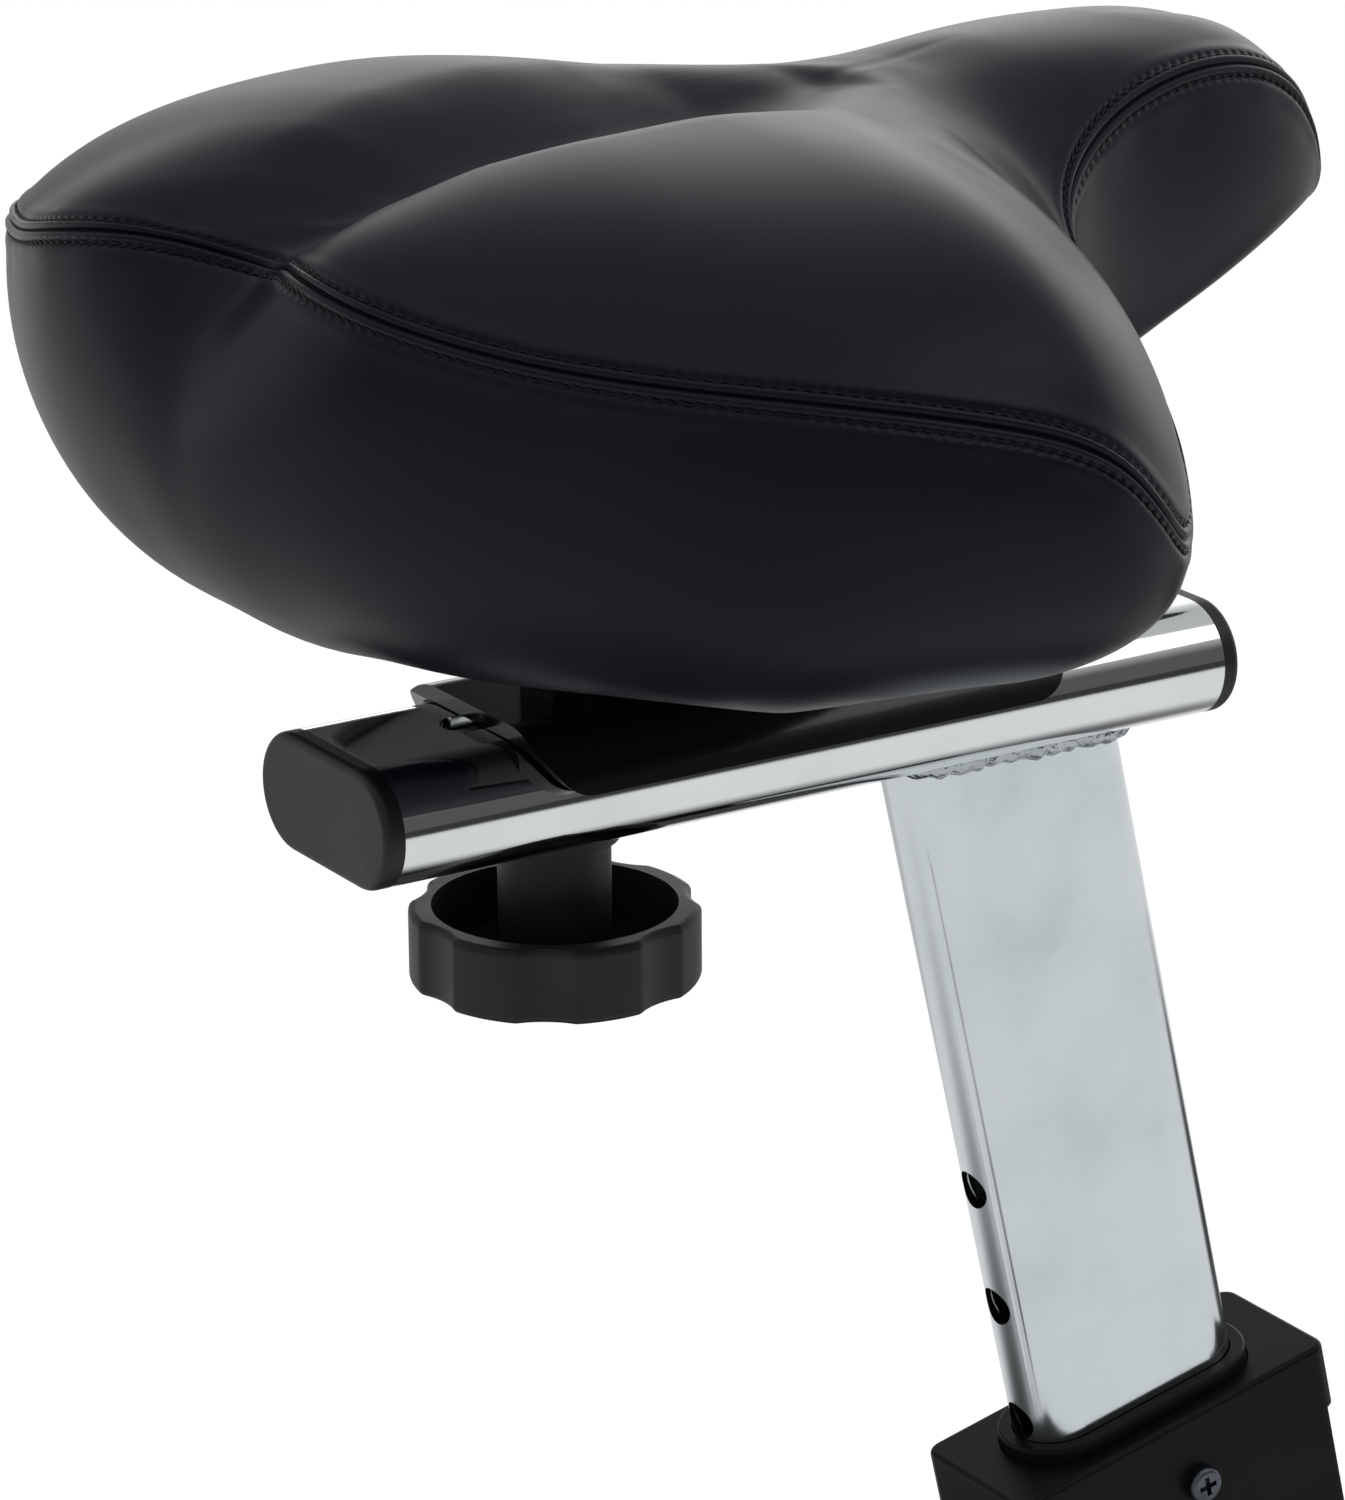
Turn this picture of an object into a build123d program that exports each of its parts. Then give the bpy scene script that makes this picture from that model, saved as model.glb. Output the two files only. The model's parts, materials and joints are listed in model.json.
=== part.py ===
from build123d import *
import math
import os

os.makedirs("parts", exist_ok=True)

# Seat assembly of an exercise bike, in millimetres.
# X points forward along the slider, Y to the rider's left and Z up.
# The origin is the centre of the seat tube's level lower end.

# Seat post and its holes
lean_deg = 12.9
post_run = 440.0
post_deep = 56.5
post_thick = 21.3
post_wall = 2.0
post_end_height = 140.0
hole_diameter = 9.0
hole_pitch = 30.1
holes_above_pin = 4
holes_below_pin = 2
pin_height = 217.7
plug_depth = 12.0
plug_flange = 3.0
plug_setback = 0.4
plug_gap = 0.1
weld_leg = 3.6
weld_taper = 38.0

# Sleeve between the post and the seat tube
slide_gap = 0.3
bush_wall = 1.9
bush_length = 90.0
bush_fit = 0.1
collar_wall = 3.2
collar_height = 3.5
collar_fillet = 0.8
tube_wall = 2.0
foot_plate = 4.0
collar_seat = 6.0

# Plastic shroud around the seat tube
shroud_deep = 87.1
shroud_thick = 37.9
shroud_forward = 0.6
shroud_corner = 4.0
shroud_top_fillet = 1.2
shroud_top_height = 270.0
shroud_length = 130.0
shroud_wall = 2.5
shroud_top_wall = 3.0
shroud_band = 16.0
shroud_step = 3.0
shroud_gap = 0.3

# Screws that hold the shroud to the tube
screw_drop = 17.0
screw_spacing = 93.0
screw_forward = 4.0
screw_shank = 3.5
screw_hole_gap = 0.1
screw_head = 8.5
screw_head_height = 3.0
screw_head_fillet = 1.2
screw_clear_of_bush = 0.3
recess_width = 1.2
recess_length = 4.6
recess_depth = 1.6

# Pull pin with its guide barrel
pin_diameter = 8.2
pin_running_gap = 0.05
pin_reach = 3.75
pin_travel = 10.0
pin_shoulder = 11.8
pin_shoulder_length = 2.5
pin_stem = 6.0
pin_chamfer = 0.8
spring_space = 3.5
barrel_diameter = 16.0
barrel_guide = 4.4
barrel_chamber = 12.4
barrel_cap_thick = 3.0
barrel_cap_plug = 4.0
barrel_cap_chamfer = 0.8
barrel_cap_fit = 0.1
barrel_seat_gap = 0.05
pull_gap = 2.0
pull_diameter = 24.0
pull_length = 22.0
pull_grip = 12.0
pull_fillet = 3.0

# Slider tube and its end caps
slider_width = 51.8
slider_height = 25.0
slider_length = 201.5
slider_wall = 2.0
post_from_rear = 159.7
slot_width = 10.0
slot_end_margin = 2.0
cap_out = 4.3
cap_fillet = 1.8
cap_insert = 14.0
cap_insert_gap = 0.1

# Clamp knob, its stud and washer
knob_from_rear = 49.6
knob_back_travel = 20.0
knob_fore_travel = 40.0
stud_diameter = 8.0
stud_clearance = 0.2
stud_chamfer = 0.8
washer_diameter = 27.0
washer_thick = 2.7
washer_gap = 0.3
hub_diameter = 23.5
knob_rim_drop = 17.4
knob_radius = 30.2
knob_inner_radius = 25.5
knob_height = 16.0
knob_floor = 4.0
knob_flutes = 7
knob_flute_turn = 29.0
flute_radius = 16.0
flute_depth = 1.8
flute_edge = 2.5
knob_fillet = 1.6

# Pressed bracket that rides on the slider
bracket_gap = 0.3
bracket_side_gap = 1.5
bracket_wall = 3.2
bracket_rear = 30.5
bracket_length = 129.5
bracket_rear_slope = 6.5
bracket_fore_slope = 6.0
bracket_corner = 9.0
flange_above_centre = 3.5
nut_across_flats = 13.0
nut_height = 6.5
nut_running_gap = 0.05
stud_above_nut = 2.0

# Low-head saddle bolts
bolt_from_rear = 70.0
bolt_spacing_x = 56.0
bolt_spacing_y = 16.0
bolt_diameter = 6.0
bolt_hole_gap = 0.1
bolt_length = 18.0
bolt_head = 11.0
bolt_head_height = 1.8
bolt_head_sink = 0.2

# Saddle, which sits a little turned and leaning on its bracket
saddle_from_rear = 90.0
saddle_left = 7.3
saddle_rise = 20.0
saddle_turn_deg = 5.0
saddle_roll_deg = -2.5
pan_thick = 4.0
pan_gap = 0.5
pan_level = 18.0
pan_bend = 10.0
pan_nose = 122.0
pan_nose_rise = 45.0
pan_rear = 60.0
pan_rear_half = 46.0
pan_mid_half = 60.0
pan_waist = 42.0
pan_waist_half = 30.0
pan_nose_half = 14.0
pad_length = 22.0
pad_width = 28.0

# Each saddle section: distance forward, half width at the seam, seam height, half width of
# the base, base height, lobe height and height on the centre line
stations = [
    (-121.0, 30.0, 86.0, 16.0, 66.0, 88.0, 86.0),
    (-112.0, 73.0, 91.0, 34.0, 43.0, 98.0, 90.0),
    (-95.0, 107.0, 87.0, 48.0, 21.0, 106.0, 92.0),
    (-65.0, 136.0, 82.0, 62.0, 9.0, 112.0, 96.5),
    (-25.0, 145.0, 68.0, 88.0, 11.0, 115.0, 99.5),
    (10.0, 136.0, 48.0, 76.0, 15.0, 113.0, 100.0),
    (32.0, 106.0, 67.0, 48.0, 22.0, 111.0, 101.5),
    (52.0, 61.0, 90.0, 36.0, 30.0, 112.0, 107.5),
    (80.0, 41.0, 100.0, 27.0, 42.0, 113.0, 112.0),
    (115.0, 32.0, 105.0, 23.0, 53.0, 112.0, 114.0),
    (145.0, 24.0, 97.0, 15.0, 62.0, 103.0, 105.0),
    (160.0, 15.0, 82.0, 9.0, 65.0, 86.0, 87.0),
    (168.0, 6.0, 70.5, 4.0, 66.0, 71.5, 72.0),
]
side_bulge = 1.2
belly_share = 0.72
shoulder_out_share = 0.76
shoulder_up_share = 0.72
channel_share = 0.3

# How far a cutting shape runs past the surface that it cuts
cut_over = 1.0

# Directions and places that follow from the sizes above
lean = math.radians(lean_deg)
up_post = Vector(-math.sin(lean), 0, math.cos(lean))
fore_post = Vector(math.cos(lean), 0, math.sin(lean))
post_plane = Plane(origin=(0, 0, 0), x_dir=fore_post, z_dir=up_post)
post_top = up_post * post_run
slider_under = post_top.Z
slider_z = slider_under + slider_height / 2
slider_top = slider_under + slider_height
slider_rear = post_top.X - post_from_rear
slider_plane = Plane(origin=(slider_rear, 0, slider_z), x_dir=(0, 1, 0), z_dir=(1, 0, 0))
side_plane = Plane(origin=(slider_rear, 0, slider_z), x_dir=(1, 0, 0), z_dir=(0, -1, 0))

bush_inner_deep = post_deep + 2 * slide_gap
bush_inner_thick = post_thick + 2 * slide_gap
bush_outer_deep = bush_inner_deep + 2 * bush_wall
bush_outer_thick = bush_inner_thick + 2 * bush_wall
tube_inner_deep = bush_outer_deep + 2 * bush_fit
tube_inner_thick = bush_outer_thick + 2 * bush_fit
tube_deep = tube_inner_deep + 2 * tube_wall
tube_thick = tube_inner_thick + 2 * tube_wall
collar_deep = bush_inner_deep + 2 * collar_wall
collar_thick = bush_inner_thick + 2 * collar_wall
tube_top_height = shroud_top_height - collar_seat
bush_low_height = tube_top_height - bush_length
shroud_low_height = shroud_top_height - shroud_length
foot_margin = tube_deep * math.tan(lean)
post_margin = post_deep * math.tan(lean)

pin_plane = Plane(origin=up_post * pin_height, x_dir=(0, 1, 0), z_dir=fore_post * -1)
post_rear = post_deep / 2
tube_rear = tube_deep / 2
pin_tip = post_rear - pin_reach
chamber_start = tube_rear + barrel_guide
barrel_chamber_length = pin_shoulder_length + pin_travel + spring_space + barrel_cap_plug
chamber_end = chamber_start + barrel_chamber_length
shoulder_start = chamber_start + pin_running_gap
shoulder_end = shoulder_start + pin_shoulder_length
cap_end = chamber_end + barrel_cap_thick
pull_start = cap_end + pull_gap

stud_x = slider_rear + knob_from_rear
washer_top = slider_under - washer_gap
hub_top = washer_top - washer_thick
knob_rim = slider_under - knob_rim_drop
knob_low = knob_rim - knob_height
bracket_under = slider_top + bracket_gap
bracket_top = bracket_under + bracket_wall
nut_top = bracket_top + nut_height

turn = math.radians(saddle_turn_deg)
roll = math.radians(saddle_roll_deg)
saddle_origin = Vector(slider_rear + saddle_from_rear, saddle_left, slider_z + saddle_rise)
saddle_fore = Vector(math.cos(turn), math.sin(turn), 0)
saddle_side = Vector(-math.sin(turn) * math.cos(roll), math.cos(turn) * math.cos(roll), math.sin(roll))
saddle_up = Vector(math.sin(turn) * math.sin(roll), -math.cos(turn) * math.sin(roll), math.cos(roll))
saddle_plane = Plane(origin=saddle_origin, x_dir=saddle_fore, z_dir=saddle_up)
saddle_side_plane = Plane(origin=saddle_origin, x_dir=saddle_fore, z_dir=saddle_side * -1)
bolt_mid_x = slider_rear + bolt_from_rear + bolt_spacing_x / 2


def save(builder, name):
    builder.part.label = name
    export_step(builder.part, "parts/" + name + ".step")


# Plate that closes the seat tube's level lower end
with BuildPart() as foot_blank:
    with BuildSketch(post_plane.offset(-foot_margin)):
        SlotOverall(tube_deep, tube_thick)
    extrude(amount=2 * foot_margin + foot_plate)
    split(bisect_by=Plane.XY, keep=Keep.TOP)
    split(bisect_by=Plane.XY.offset(foot_plate), keep=Keep.BOTTOM)

# Steel seat tube
with BuildPart() as seat_tube:
    with BuildSketch(post_plane.offset(-foot_margin)):
        SlotOverall(tube_deep, tube_thick)
        SlotOverall(tube_inner_deep, tube_inner_thick, mode=Mode.SUBTRACT)
    extrude(amount=tube_top_height + foot_margin)
    split(bisect_by=Plane.XY, keep=Keep.TOP)
    add(foot_blank.part)
    with BuildSketch(pin_plane):
        Circle(hole_diameter / 2)
    extrude(amount=tube_rear + cut_over, mode=Mode.SUBTRACT)
    for drop in (screw_drop, screw_drop + screw_spacing):
        screw_centre = post_plane.from_local_coords((screw_forward, 0, shroud_top_height - drop))
        with BuildSketch(Plane(origin=screw_centre, x_dir=fore_post, z_dir=(0, -1, 0))):
            Circle(screw_shank / 2 + screw_hole_gap)
        extrude(amount=tube_thick, both=True, mode=Mode.SUBTRACT)
save(seat_tube, "seat_tube")

# Plastic sleeve with a raised collar
with BuildPart() as post_bush:
    with BuildSketch(post_plane.offset(bush_low_height)):
        SlotOverall(bush_outer_deep, bush_outer_thick)
    extrude(amount=bush_length)
    with BuildSketch(post_plane.offset(tube_top_height)):
        SlotOverall(collar_deep, collar_thick)
    extrude(amount=collar_seat + collar_height)
    fillet(post_bush.faces().sort_by(Axis((0, 0, 0), up_post))[-1].edges(), collar_fillet)
    with BuildSketch(post_plane.offset(bush_low_height)):
        SlotOverall(bush_inner_deep, bush_inner_thick)
    extrude(amount=bush_length + collar_seat + collar_height, mode=Mode.SUBTRACT)
    with BuildSketch(pin_plane):
        Circle(hole_diameter / 2)
    extrude(amount=tube_rear, mode=Mode.SUBTRACT)
save(post_bush, "post_bush")

# Shroud before it is split into halves
with BuildPart() as shroud_whole:
    with BuildSketch(post_plane.offset(shroud_low_height)):
        with Locations((shroud_forward, 0)):
            RectangleRounded(shroud_deep, shroud_thick, shroud_corner)
    extrude(amount=shroud_length)
    fillet(shroud_whole.faces().sort_by(Axis((0, 0, 0), up_post))[-1].edges(), shroud_top_fillet)
    with BuildSketch(post_plane.offset(shroud_low_height)):
        with Locations((shroud_forward + shroud_deep / 2, 0)):
            Rectangle(2 * shroud_step, shroud_thick + 2 * cut_over)
    extrude(amount=shroud_length - shroud_band, mode=Mode.SUBTRACT)
    with BuildSketch(post_plane.offset(shroud_low_height + shroud_top_wall)):
        with Locations((shroud_forward - shroud_step / 2, 0)):
            Rectangle(shroud_deep - shroud_step - 2 * shroud_wall, shroud_thick - 2 * shroud_wall)
    extrude(amount=shroud_length - 2 * shroud_top_wall, mode=Mode.SUBTRACT)
    with BuildSketch(post_plane.offset(shroud_top_height - 2 * shroud_top_wall)):
        SlotOverall(collar_deep + 2 * shroud_gap, collar_thick + 2 * shroud_gap)
    extrude(amount=3 * shroud_top_wall, mode=Mode.SUBTRACT)
    with BuildSketch(post_plane.offset(shroud_low_height - shroud_top_wall)):
        SlotOverall(tube_deep + 2 * shroud_gap, tube_thick + 2 * shroud_gap)
    extrude(amount=3 * shroud_top_wall, mode=Mode.SUBTRACT)
    with BuildSketch(pin_plane.offset(tube_rear)):
        Circle(barrel_diameter / 2 + shroud_gap)
    extrude(amount=shroud_deep, mode=Mode.SUBTRACT)
    for drop in (screw_drop, screw_drop + screw_spacing):
        screw_centre = post_plane.from_local_coords((screw_forward, 0, shroud_top_height - drop))
        with BuildSketch(Plane(origin=screw_centre, x_dir=fore_post, z_dir=(0, -1, 0))):
            Circle(screw_shank / 2 + screw_hole_gap)
        extrude(amount=shroud_thick, both=True, mode=Mode.SUBTRACT)

with BuildPart() as shroud_left:
    add(shroud_whole.part)
    split(bisect_by=Plane.XZ, keep=Keep.BOTTOM)
save(shroud_left, "shroud_left")

with BuildPart() as shroud_right:
    add(shroud_whole.part)
    split(bisect_by=Plane.XZ, keep=Keep.TOP)
save(shroud_right, "shroud_right")

# Cross-recess screws through each half into the tube's wall
for side_name, side_sign in (("left", 1), ("right", -1)):
    for row_name, drop in (("upper", screw_drop), ("lower", screw_drop + screw_spacing)):
        screw_centre = post_plane.from_local_coords((screw_forward, 0, shroud_top_height - drop))
        seat_point = screw_centre + Vector(0, side_sign * shroud_thick / 2, 0)
        head_plane = Plane(origin=seat_point, x_dir=fore_post, z_dir=(0, side_sign, 0))
        shank_length = shroud_thick / 2 - bush_outer_thick / 2 - screw_clear_of_bush
        with BuildPart() as shroud_screw:
            with BuildSketch(head_plane):
                Circle(screw_head / 2)
            extrude(amount=screw_head_height)
            fillet(shroud_screw.faces().sort_by(Axis.Y)[-1 if side_sign > 0 else 0].edges(), screw_head_fillet)
            with BuildSketch(head_plane):
                Circle(screw_shank / 2)
            extrude(amount=-shank_length)
            with BuildSketch(head_plane.offset(screw_head_height)):
                Rectangle(recess_length, recess_width)
                Rectangle(recess_width, recess_length)
            extrude(amount=-recess_depth, mode=Mode.SUBTRACT)
        save(shroud_screw, "shroud_screw_" + side_name + "_" + row_name)

# Guide barrel, coped to the back of the seat tube
with BuildPart() as pin_barrel:
    with BuildSketch(pin_plane):
        Circle(barrel_diameter / 2)
    extrude(amount=chamber_end)
    with BuildSketch(post_plane):
        SlotOverall(tube_deep + 2 * barrel_seat_gap, tube_thick + 2 * barrel_seat_gap)
    extrude(amount=post_run, mode=Mode.SUBTRACT)
    with BuildSketch(pin_plane):
        Circle(pin_diameter / 2 + pin_running_gap)
    extrude(amount=chamber_end, mode=Mode.SUBTRACT)
    with BuildSketch(pin_plane.offset(chamber_start)):
        Circle(barrel_chamber / 2)
    extrude(amount=barrel_chamber_length, mode=Mode.SUBTRACT)
save(pin_barrel, "pin_barrel")

# Cap that closes the barrel behind the spring space
with BuildPart() as pin_cap:
    with BuildSketch(pin_plane.offset(chamber_end)):
        Circle(barrel_diameter / 2)
    extrude(amount=barrel_cap_thick)
    chamfer(pin_cap.faces().sort_by(Axis((0, 0, 0), fore_post))[0].edges(), barrel_cap_chamfer)
    with BuildSketch(pin_plane.offset(chamber_end)):
        Circle(barrel_chamber / 2 - barrel_cap_fit)
    extrude(amount=-barrel_cap_plug)
    with BuildSketch(pin_plane.offset(chamber_end - barrel_cap_plug)):
        Circle(pin_stem / 2 + pin_running_gap)
    extrude(amount=barrel_cap_plug + barrel_cap_thick, mode=Mode.SUBTRACT)
save(pin_cap, "pin_cap")

# Steel pull pin with its shoulder and stem
with BuildPart() as pull_pin:
    with BuildSketch(pin_plane.offset(pin_tip)):
        Circle(pin_diameter / 2)
    extrude(amount=shoulder_start - pin_tip)
    chamfer(pull_pin.faces().sort_by(Axis((0, 0, 0), fore_post))[-1].edges(), pin_chamfer)
    with BuildSketch(pin_plane.offset(shoulder_start)):
        Circle(pin_shoulder / 2)
    extrude(amount=pin_shoulder_length)
    with BuildSketch(pin_plane.offset(shoulder_end)):
        Circle(pin_stem / 2)
    extrude(amount=pull_start + pull_grip - shoulder_end)
save(pull_pin, "pull_pin")

# Round pull on the pin's stem
with BuildPart() as pin_knob:
    with BuildSketch(pin_plane.offset(pull_start)):
        Circle(pull_diameter / 2)
    extrude(amount=pull_length)
    fillet(pin_knob.edges().filter_by(GeomType.CIRCLE), pull_fillet)
    with BuildSketch(pin_plane.offset(pull_start)):
        Circle(pin_stem / 2 + pin_running_gap)
    extrude(amount=pull_grip, mode=Mode.SUBTRACT)
save(pin_knob, "pin_knob")

# Seat post with a row of holes in its rear face
with BuildPart() as seat_post:
    with BuildSketch(post_plane.offset(post_end_height)):
        SlotOverall(post_deep, post_thick)
        SlotOverall(post_deep - 2 * post_wall, post_thick - 2 * post_wall, mode=Mode.SUBTRACT)
    extrude(amount=post_run + post_margin - post_end_height)
    split(bisect_by=Plane.XY.offset(slider_under), keep=Keep.BOTTOM)
    for step in range(-holes_below_pin, holes_above_pin + 1):
        hole_plane = Plane(
            origin=up_post * (pin_height + step * hole_pitch), x_dir=(0, 1, 0), z_dir=fore_post * -1
        )
        with BuildSketch(hole_plane.offset(post_rear - post_thick / 2)):
            Circle(hole_diameter / 2)
        extrude(amount=post_thick, mode=Mode.SUBTRACT)
save(seat_post, "seat_post")

# Plastic plug in the post's lower end
with BuildPart() as post_plug:
    with BuildSketch(post_plane.offset(post_end_height)):
        SlotOverall(post_deep - 2 * plug_setback, post_thick - 2 * plug_setback)
    extrude(amount=-plug_flange)
    with BuildSketch(post_plane.offset(post_end_height)):
        SlotOverall(
            post_deep - 2 * post_wall - 2 * plug_gap, post_thick - 2 * post_wall - 2 * plug_gap
        )
    extrude(amount=plug_depth)
save(post_plug, "post_plug")

# Weld bead where the post meets the slider
with BuildPart() as post_weld:
    with BuildSketch(Plane.XY.offset(slider_under)):
        with Locations((post_top.X, 0)):
            SlotOverall(post_deep / math.cos(lean) + 2 * weld_leg, post_thick + 2 * weld_leg)
    extrude(amount=-weld_leg, taper=weld_taper)
    with BuildSketch(post_plane.offset(post_run - post_margin)):
        SlotOverall(post_deep, post_thick)
    extrude(amount=2 * post_margin, mode=Mode.SUBTRACT)
save(post_weld, "post_weld")

# Flat-oval slider tube with slots for the clamp stud
slot_start = knob_from_rear - knob_back_travel - stud_diameter / 2 - slot_end_margin
slot_end = knob_from_rear + knob_fore_travel + stud_diameter / 2 + slot_end_margin
with BuildPart() as slider_tube:
    with BuildSketch(slider_plane):
        SlotOverall(slider_width, slider_height)
        SlotOverall(slider_width - 2 * slider_wall, slider_height - 2 * slider_wall, mode=Mode.SUBTRACT)
    extrude(amount=slider_length)
    with BuildSketch(Plane.XY.offset(slider_z)):
        with Locations((slider_rear + (slot_start + slot_end) / 2, 0)):
            SlotOverall(slot_end - slot_start, slot_width)
    extrude(amount=slider_height, both=True, mode=Mode.SUBTRACT)
save(slider_tube, "slider_tube")

# Plastic end caps of the slider
for cap_name, cap_start, cap_sign in (
    ("slider_cap_rear", 0.0, -1),
    ("slider_cap_front", slider_length, 1),
):
    with BuildPart() as slider_cap:
        with BuildSketch(slider_plane.offset(cap_start)):
            SlotOverall(slider_width, slider_height)
        extrude(amount=cap_sign * cap_out)
        outer_face = slider_cap.faces().sort_by(Axis.X)[-1 if cap_sign > 0 else 0]
        fillet(outer_face.edges(), cap_fillet)
        with BuildSketch(slider_plane.offset(cap_start)):
            SlotOverall(
                slider_width - 2 * slider_wall - 2 * cap_insert_gap,
                slider_height - 2 * slider_wall - 2 * cap_insert_gap,
            )
        extrude(amount=-cap_sign * cap_insert)
    save(slider_cap, cap_name)

# Pressed bracket, open below, with sloping ends on its flanges
with BuildPart() as slider_bracket:
    with BuildSketch(slider_plane.offset(bracket_rear)):
        SlotOverall(
            slider_width + 2 * bracket_side_gap + 2 * bracket_wall,
            slider_height + 2 * bracket_gap + 2 * bracket_wall,
        )
        SlotOverall(
            slider_width + 2 * bracket_side_gap, slider_height + 2 * bracket_gap, mode=Mode.SUBTRACT
        )
        with Locations((0, flange_above_centre - cut_over - slider_height)):
            Rectangle(2 * slider_width, 2 * slider_height, mode=Mode.SUBTRACT)
    extrude(amount=bracket_length)
    with BuildSketch(side_plane) as bracket_side:
        with BuildLine():
            Polyline(
                (bracket_rear, slider_height / 2),
                (bracket_rear + bracket_rear_slope, flange_above_centre),
                (bracket_rear + bracket_length - bracket_fore_slope, flange_above_centre),
                (bracket_rear + bracket_length, slider_height / 2),
                (bracket_rear + bracket_length, slider_height),
                (bracket_rear, slider_height),
                close=True,
            )
        make_face()
        fillet(bracket_side.vertices().sort_by(Axis.Y)[:2], bracket_corner)
    extrude(amount=slider_width, both=True, mode=Mode.INTERSECT)
    with BuildSketch(Plane.XY.offset(bracket_under - cut_over)):
        with Locations((stud_x, 0)):
            Circle(stud_diameter / 2 + stud_clearance)
        with Locations((bolt_mid_x, 0)):
            with GridLocations(bolt_spacing_x, bolt_spacing_y, 2, 2):
                Circle(bolt_diameter / 2 + bolt_hole_gap)
    extrude(amount=bracket_wall + 2 * cut_over, mode=Mode.SUBTRACT)
    with BuildSketch(Plane.XY.offset(bracket_under)):
        with Locations((bolt_mid_x, 0)):
            with GridLocations(bolt_spacing_x, bolt_spacing_y, 2, 2):
                Circle(bolt_head / 2 + bolt_hole_gap)
    extrude(amount=bolt_head_sink + bolt_head_height, mode=Mode.SUBTRACT)
save(slider_bracket, "slider_bracket")

# Nut welded on the bracket above the stud
with BuildPart() as clamp_nut:
    with BuildSketch(Plane.XY.offset(bracket_top)):
        with Locations((stud_x, 0)):
            RegularPolygon(nut_across_flats / 2, 6, major_radius=False)
            Circle(stud_diameter / 2 + nut_running_gap, mode=Mode.SUBTRACT)
    extrude(amount=nut_height)
save(clamp_nut, "clamp_nut")

# Low-head bolts up through the bracket into the pan
for end_name, end_sign in (("rear", -1), ("front", 1)):
    for side_name, side_sign in (("left", 1), ("right", -1)):
        bolt_x = bolt_mid_x + end_sign * bolt_spacing_x / 2
        bolt_y = side_sign * bolt_spacing_y / 2
        with BuildPart() as saddle_bolt:
            with BuildSketch(Plane.XY.offset(bracket_under + bolt_head_sink)):
                with Locations((bolt_x, bolt_y)):
                    Circle(bolt_head / 2)
            extrude(amount=bolt_head_height)
            with BuildSketch(Plane.XY.offset(bracket_under + bolt_head_sink)):
                with Locations((bolt_x, bolt_y)):
                    Circle(bolt_diameter / 2)
            extrude(amount=bolt_length)
        save(saddle_bolt, "saddle_bolt_" + end_name + "_" + side_name)

# Underside profile and plan of the pan, shared by the pan and its space in the cushion
pan_half_depth = 2 * pan_mid_half
with BuildPart() as pan_space:
    with BuildSketch(saddle_side_plane):
        with BuildLine():
            Polyline(
                (-pan_rear, -4 * pan_level),
                (-pan_rear, pan_level),
                (pan_bend, pan_level),
                (pan_nose, pan_level + pan_nose_rise),
                (pan_nose, -4 * pan_level),
                close=True,
            )
        make_face()
    extrude(amount=pan_half_depth, both=True)
    with BuildSketch(saddle_plane.offset(-4 * pan_level)):
        with BuildLine():
            Polyline(
                (-pan_rear, -pan_rear_half),
                (-pan_rear / 2, -pan_mid_half),
                (pan_bend, -pan_mid_half),
                (pan_waist, -pan_waist_half),
                (pan_nose, -pan_nose_half),
                (pan_nose, pan_nose_half),
                (pan_waist, pan_waist_half),
                (pan_bend, pan_mid_half),
                (-pan_rear / 2, pan_mid_half),
                (-pan_rear, pan_rear_half),
                close=True,
            )
        make_face()
    extrude(amount=8 * pan_level + pan_nose_rise, mode=Mode.INTERSECT)

# Base pan with two pads that stand on the bracket
pan_top = pan_level - pan_gap
with BuildPart() as saddle_pan:
    with BuildSketch(saddle_side_plane):
        with BuildLine():
            Polyline(
                (-pan_rear + pan_gap, pan_top - pan_thick),
                (-pan_rear + pan_gap, pan_top),
                (pan_bend, pan_top),
                (pan_nose - pan_gap, pan_top + pan_nose_rise),
                (pan_nose - pan_gap, pan_top + pan_nose_rise - pan_thick),
                (pan_bend, pan_top - pan_thick),
                close=True,
            )
        make_face()
    extrude(amount=pan_half_depth, both=True)
    with BuildSketch(saddle_plane.offset(-4 * pan_level)):
        with BuildLine():
            Polyline(
                (-pan_rear, pan_gap - pan_rear_half),
                (-pan_rear / 2, pan_gap - pan_mid_half),
                (pan_bend, pan_gap - pan_mid_half),
                (pan_waist, 2 * pan_gap - pan_waist_half),
                (pan_nose, pan_gap - pan_nose_half),
                (pan_nose, pan_nose_half - pan_gap),
                (pan_waist, pan_waist_half - 2 * pan_gap),
                (pan_bend, pan_mid_half - pan_gap),
                (-pan_rear / 2, pan_mid_half - pan_gap),
                (-pan_rear, pan_rear_half - pan_gap),
                close=True,
            )
        make_face()
    extrude(amount=8 * pan_level + pan_nose_rise, mode=Mode.INTERSECT)
    with BuildSketch(Plane.XY.offset(bracket_top)):
        with Locations((bolt_mid_x, 0)):
            with GridLocations(bolt_spacing_x, 1, 2, 1):
                RectangleRounded(pad_length, pad_width, bolt_diameter / 2)
    extrude(amount=saddle_rise + pan_level + pan_nose_rise)
    with BuildSketch(saddle_side_plane):
        with BuildLine():
            Polyline(
                (-2 * pan_rear, pan_top),
                (pan_bend, pan_top),
                (pan_nose, pan_top + (pan_nose - pan_bend) * pan_nose_rise / (pan_nose - pan_gap - pan_bend)),
                (pan_nose, 8 * pan_level + pan_nose_rise),
                (-2 * pan_rear, 8 * pan_level + pan_nose_rise),
                close=True,
            )
        make_face()
    extrude(amount=pan_half_depth, both=True, mode=Mode.SUBTRACT)
    with BuildSketch(Plane.XY.offset(bracket_top)):
        with Locations((bolt_mid_x, 0)):
            with GridLocations(bolt_spacing_x, bolt_spacing_y, 2, 2):
                Circle(bolt_diameter / 2 + bolt_hole_gap)
    extrude(amount=bolt_length, mode=Mode.SUBTRACT)
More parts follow.
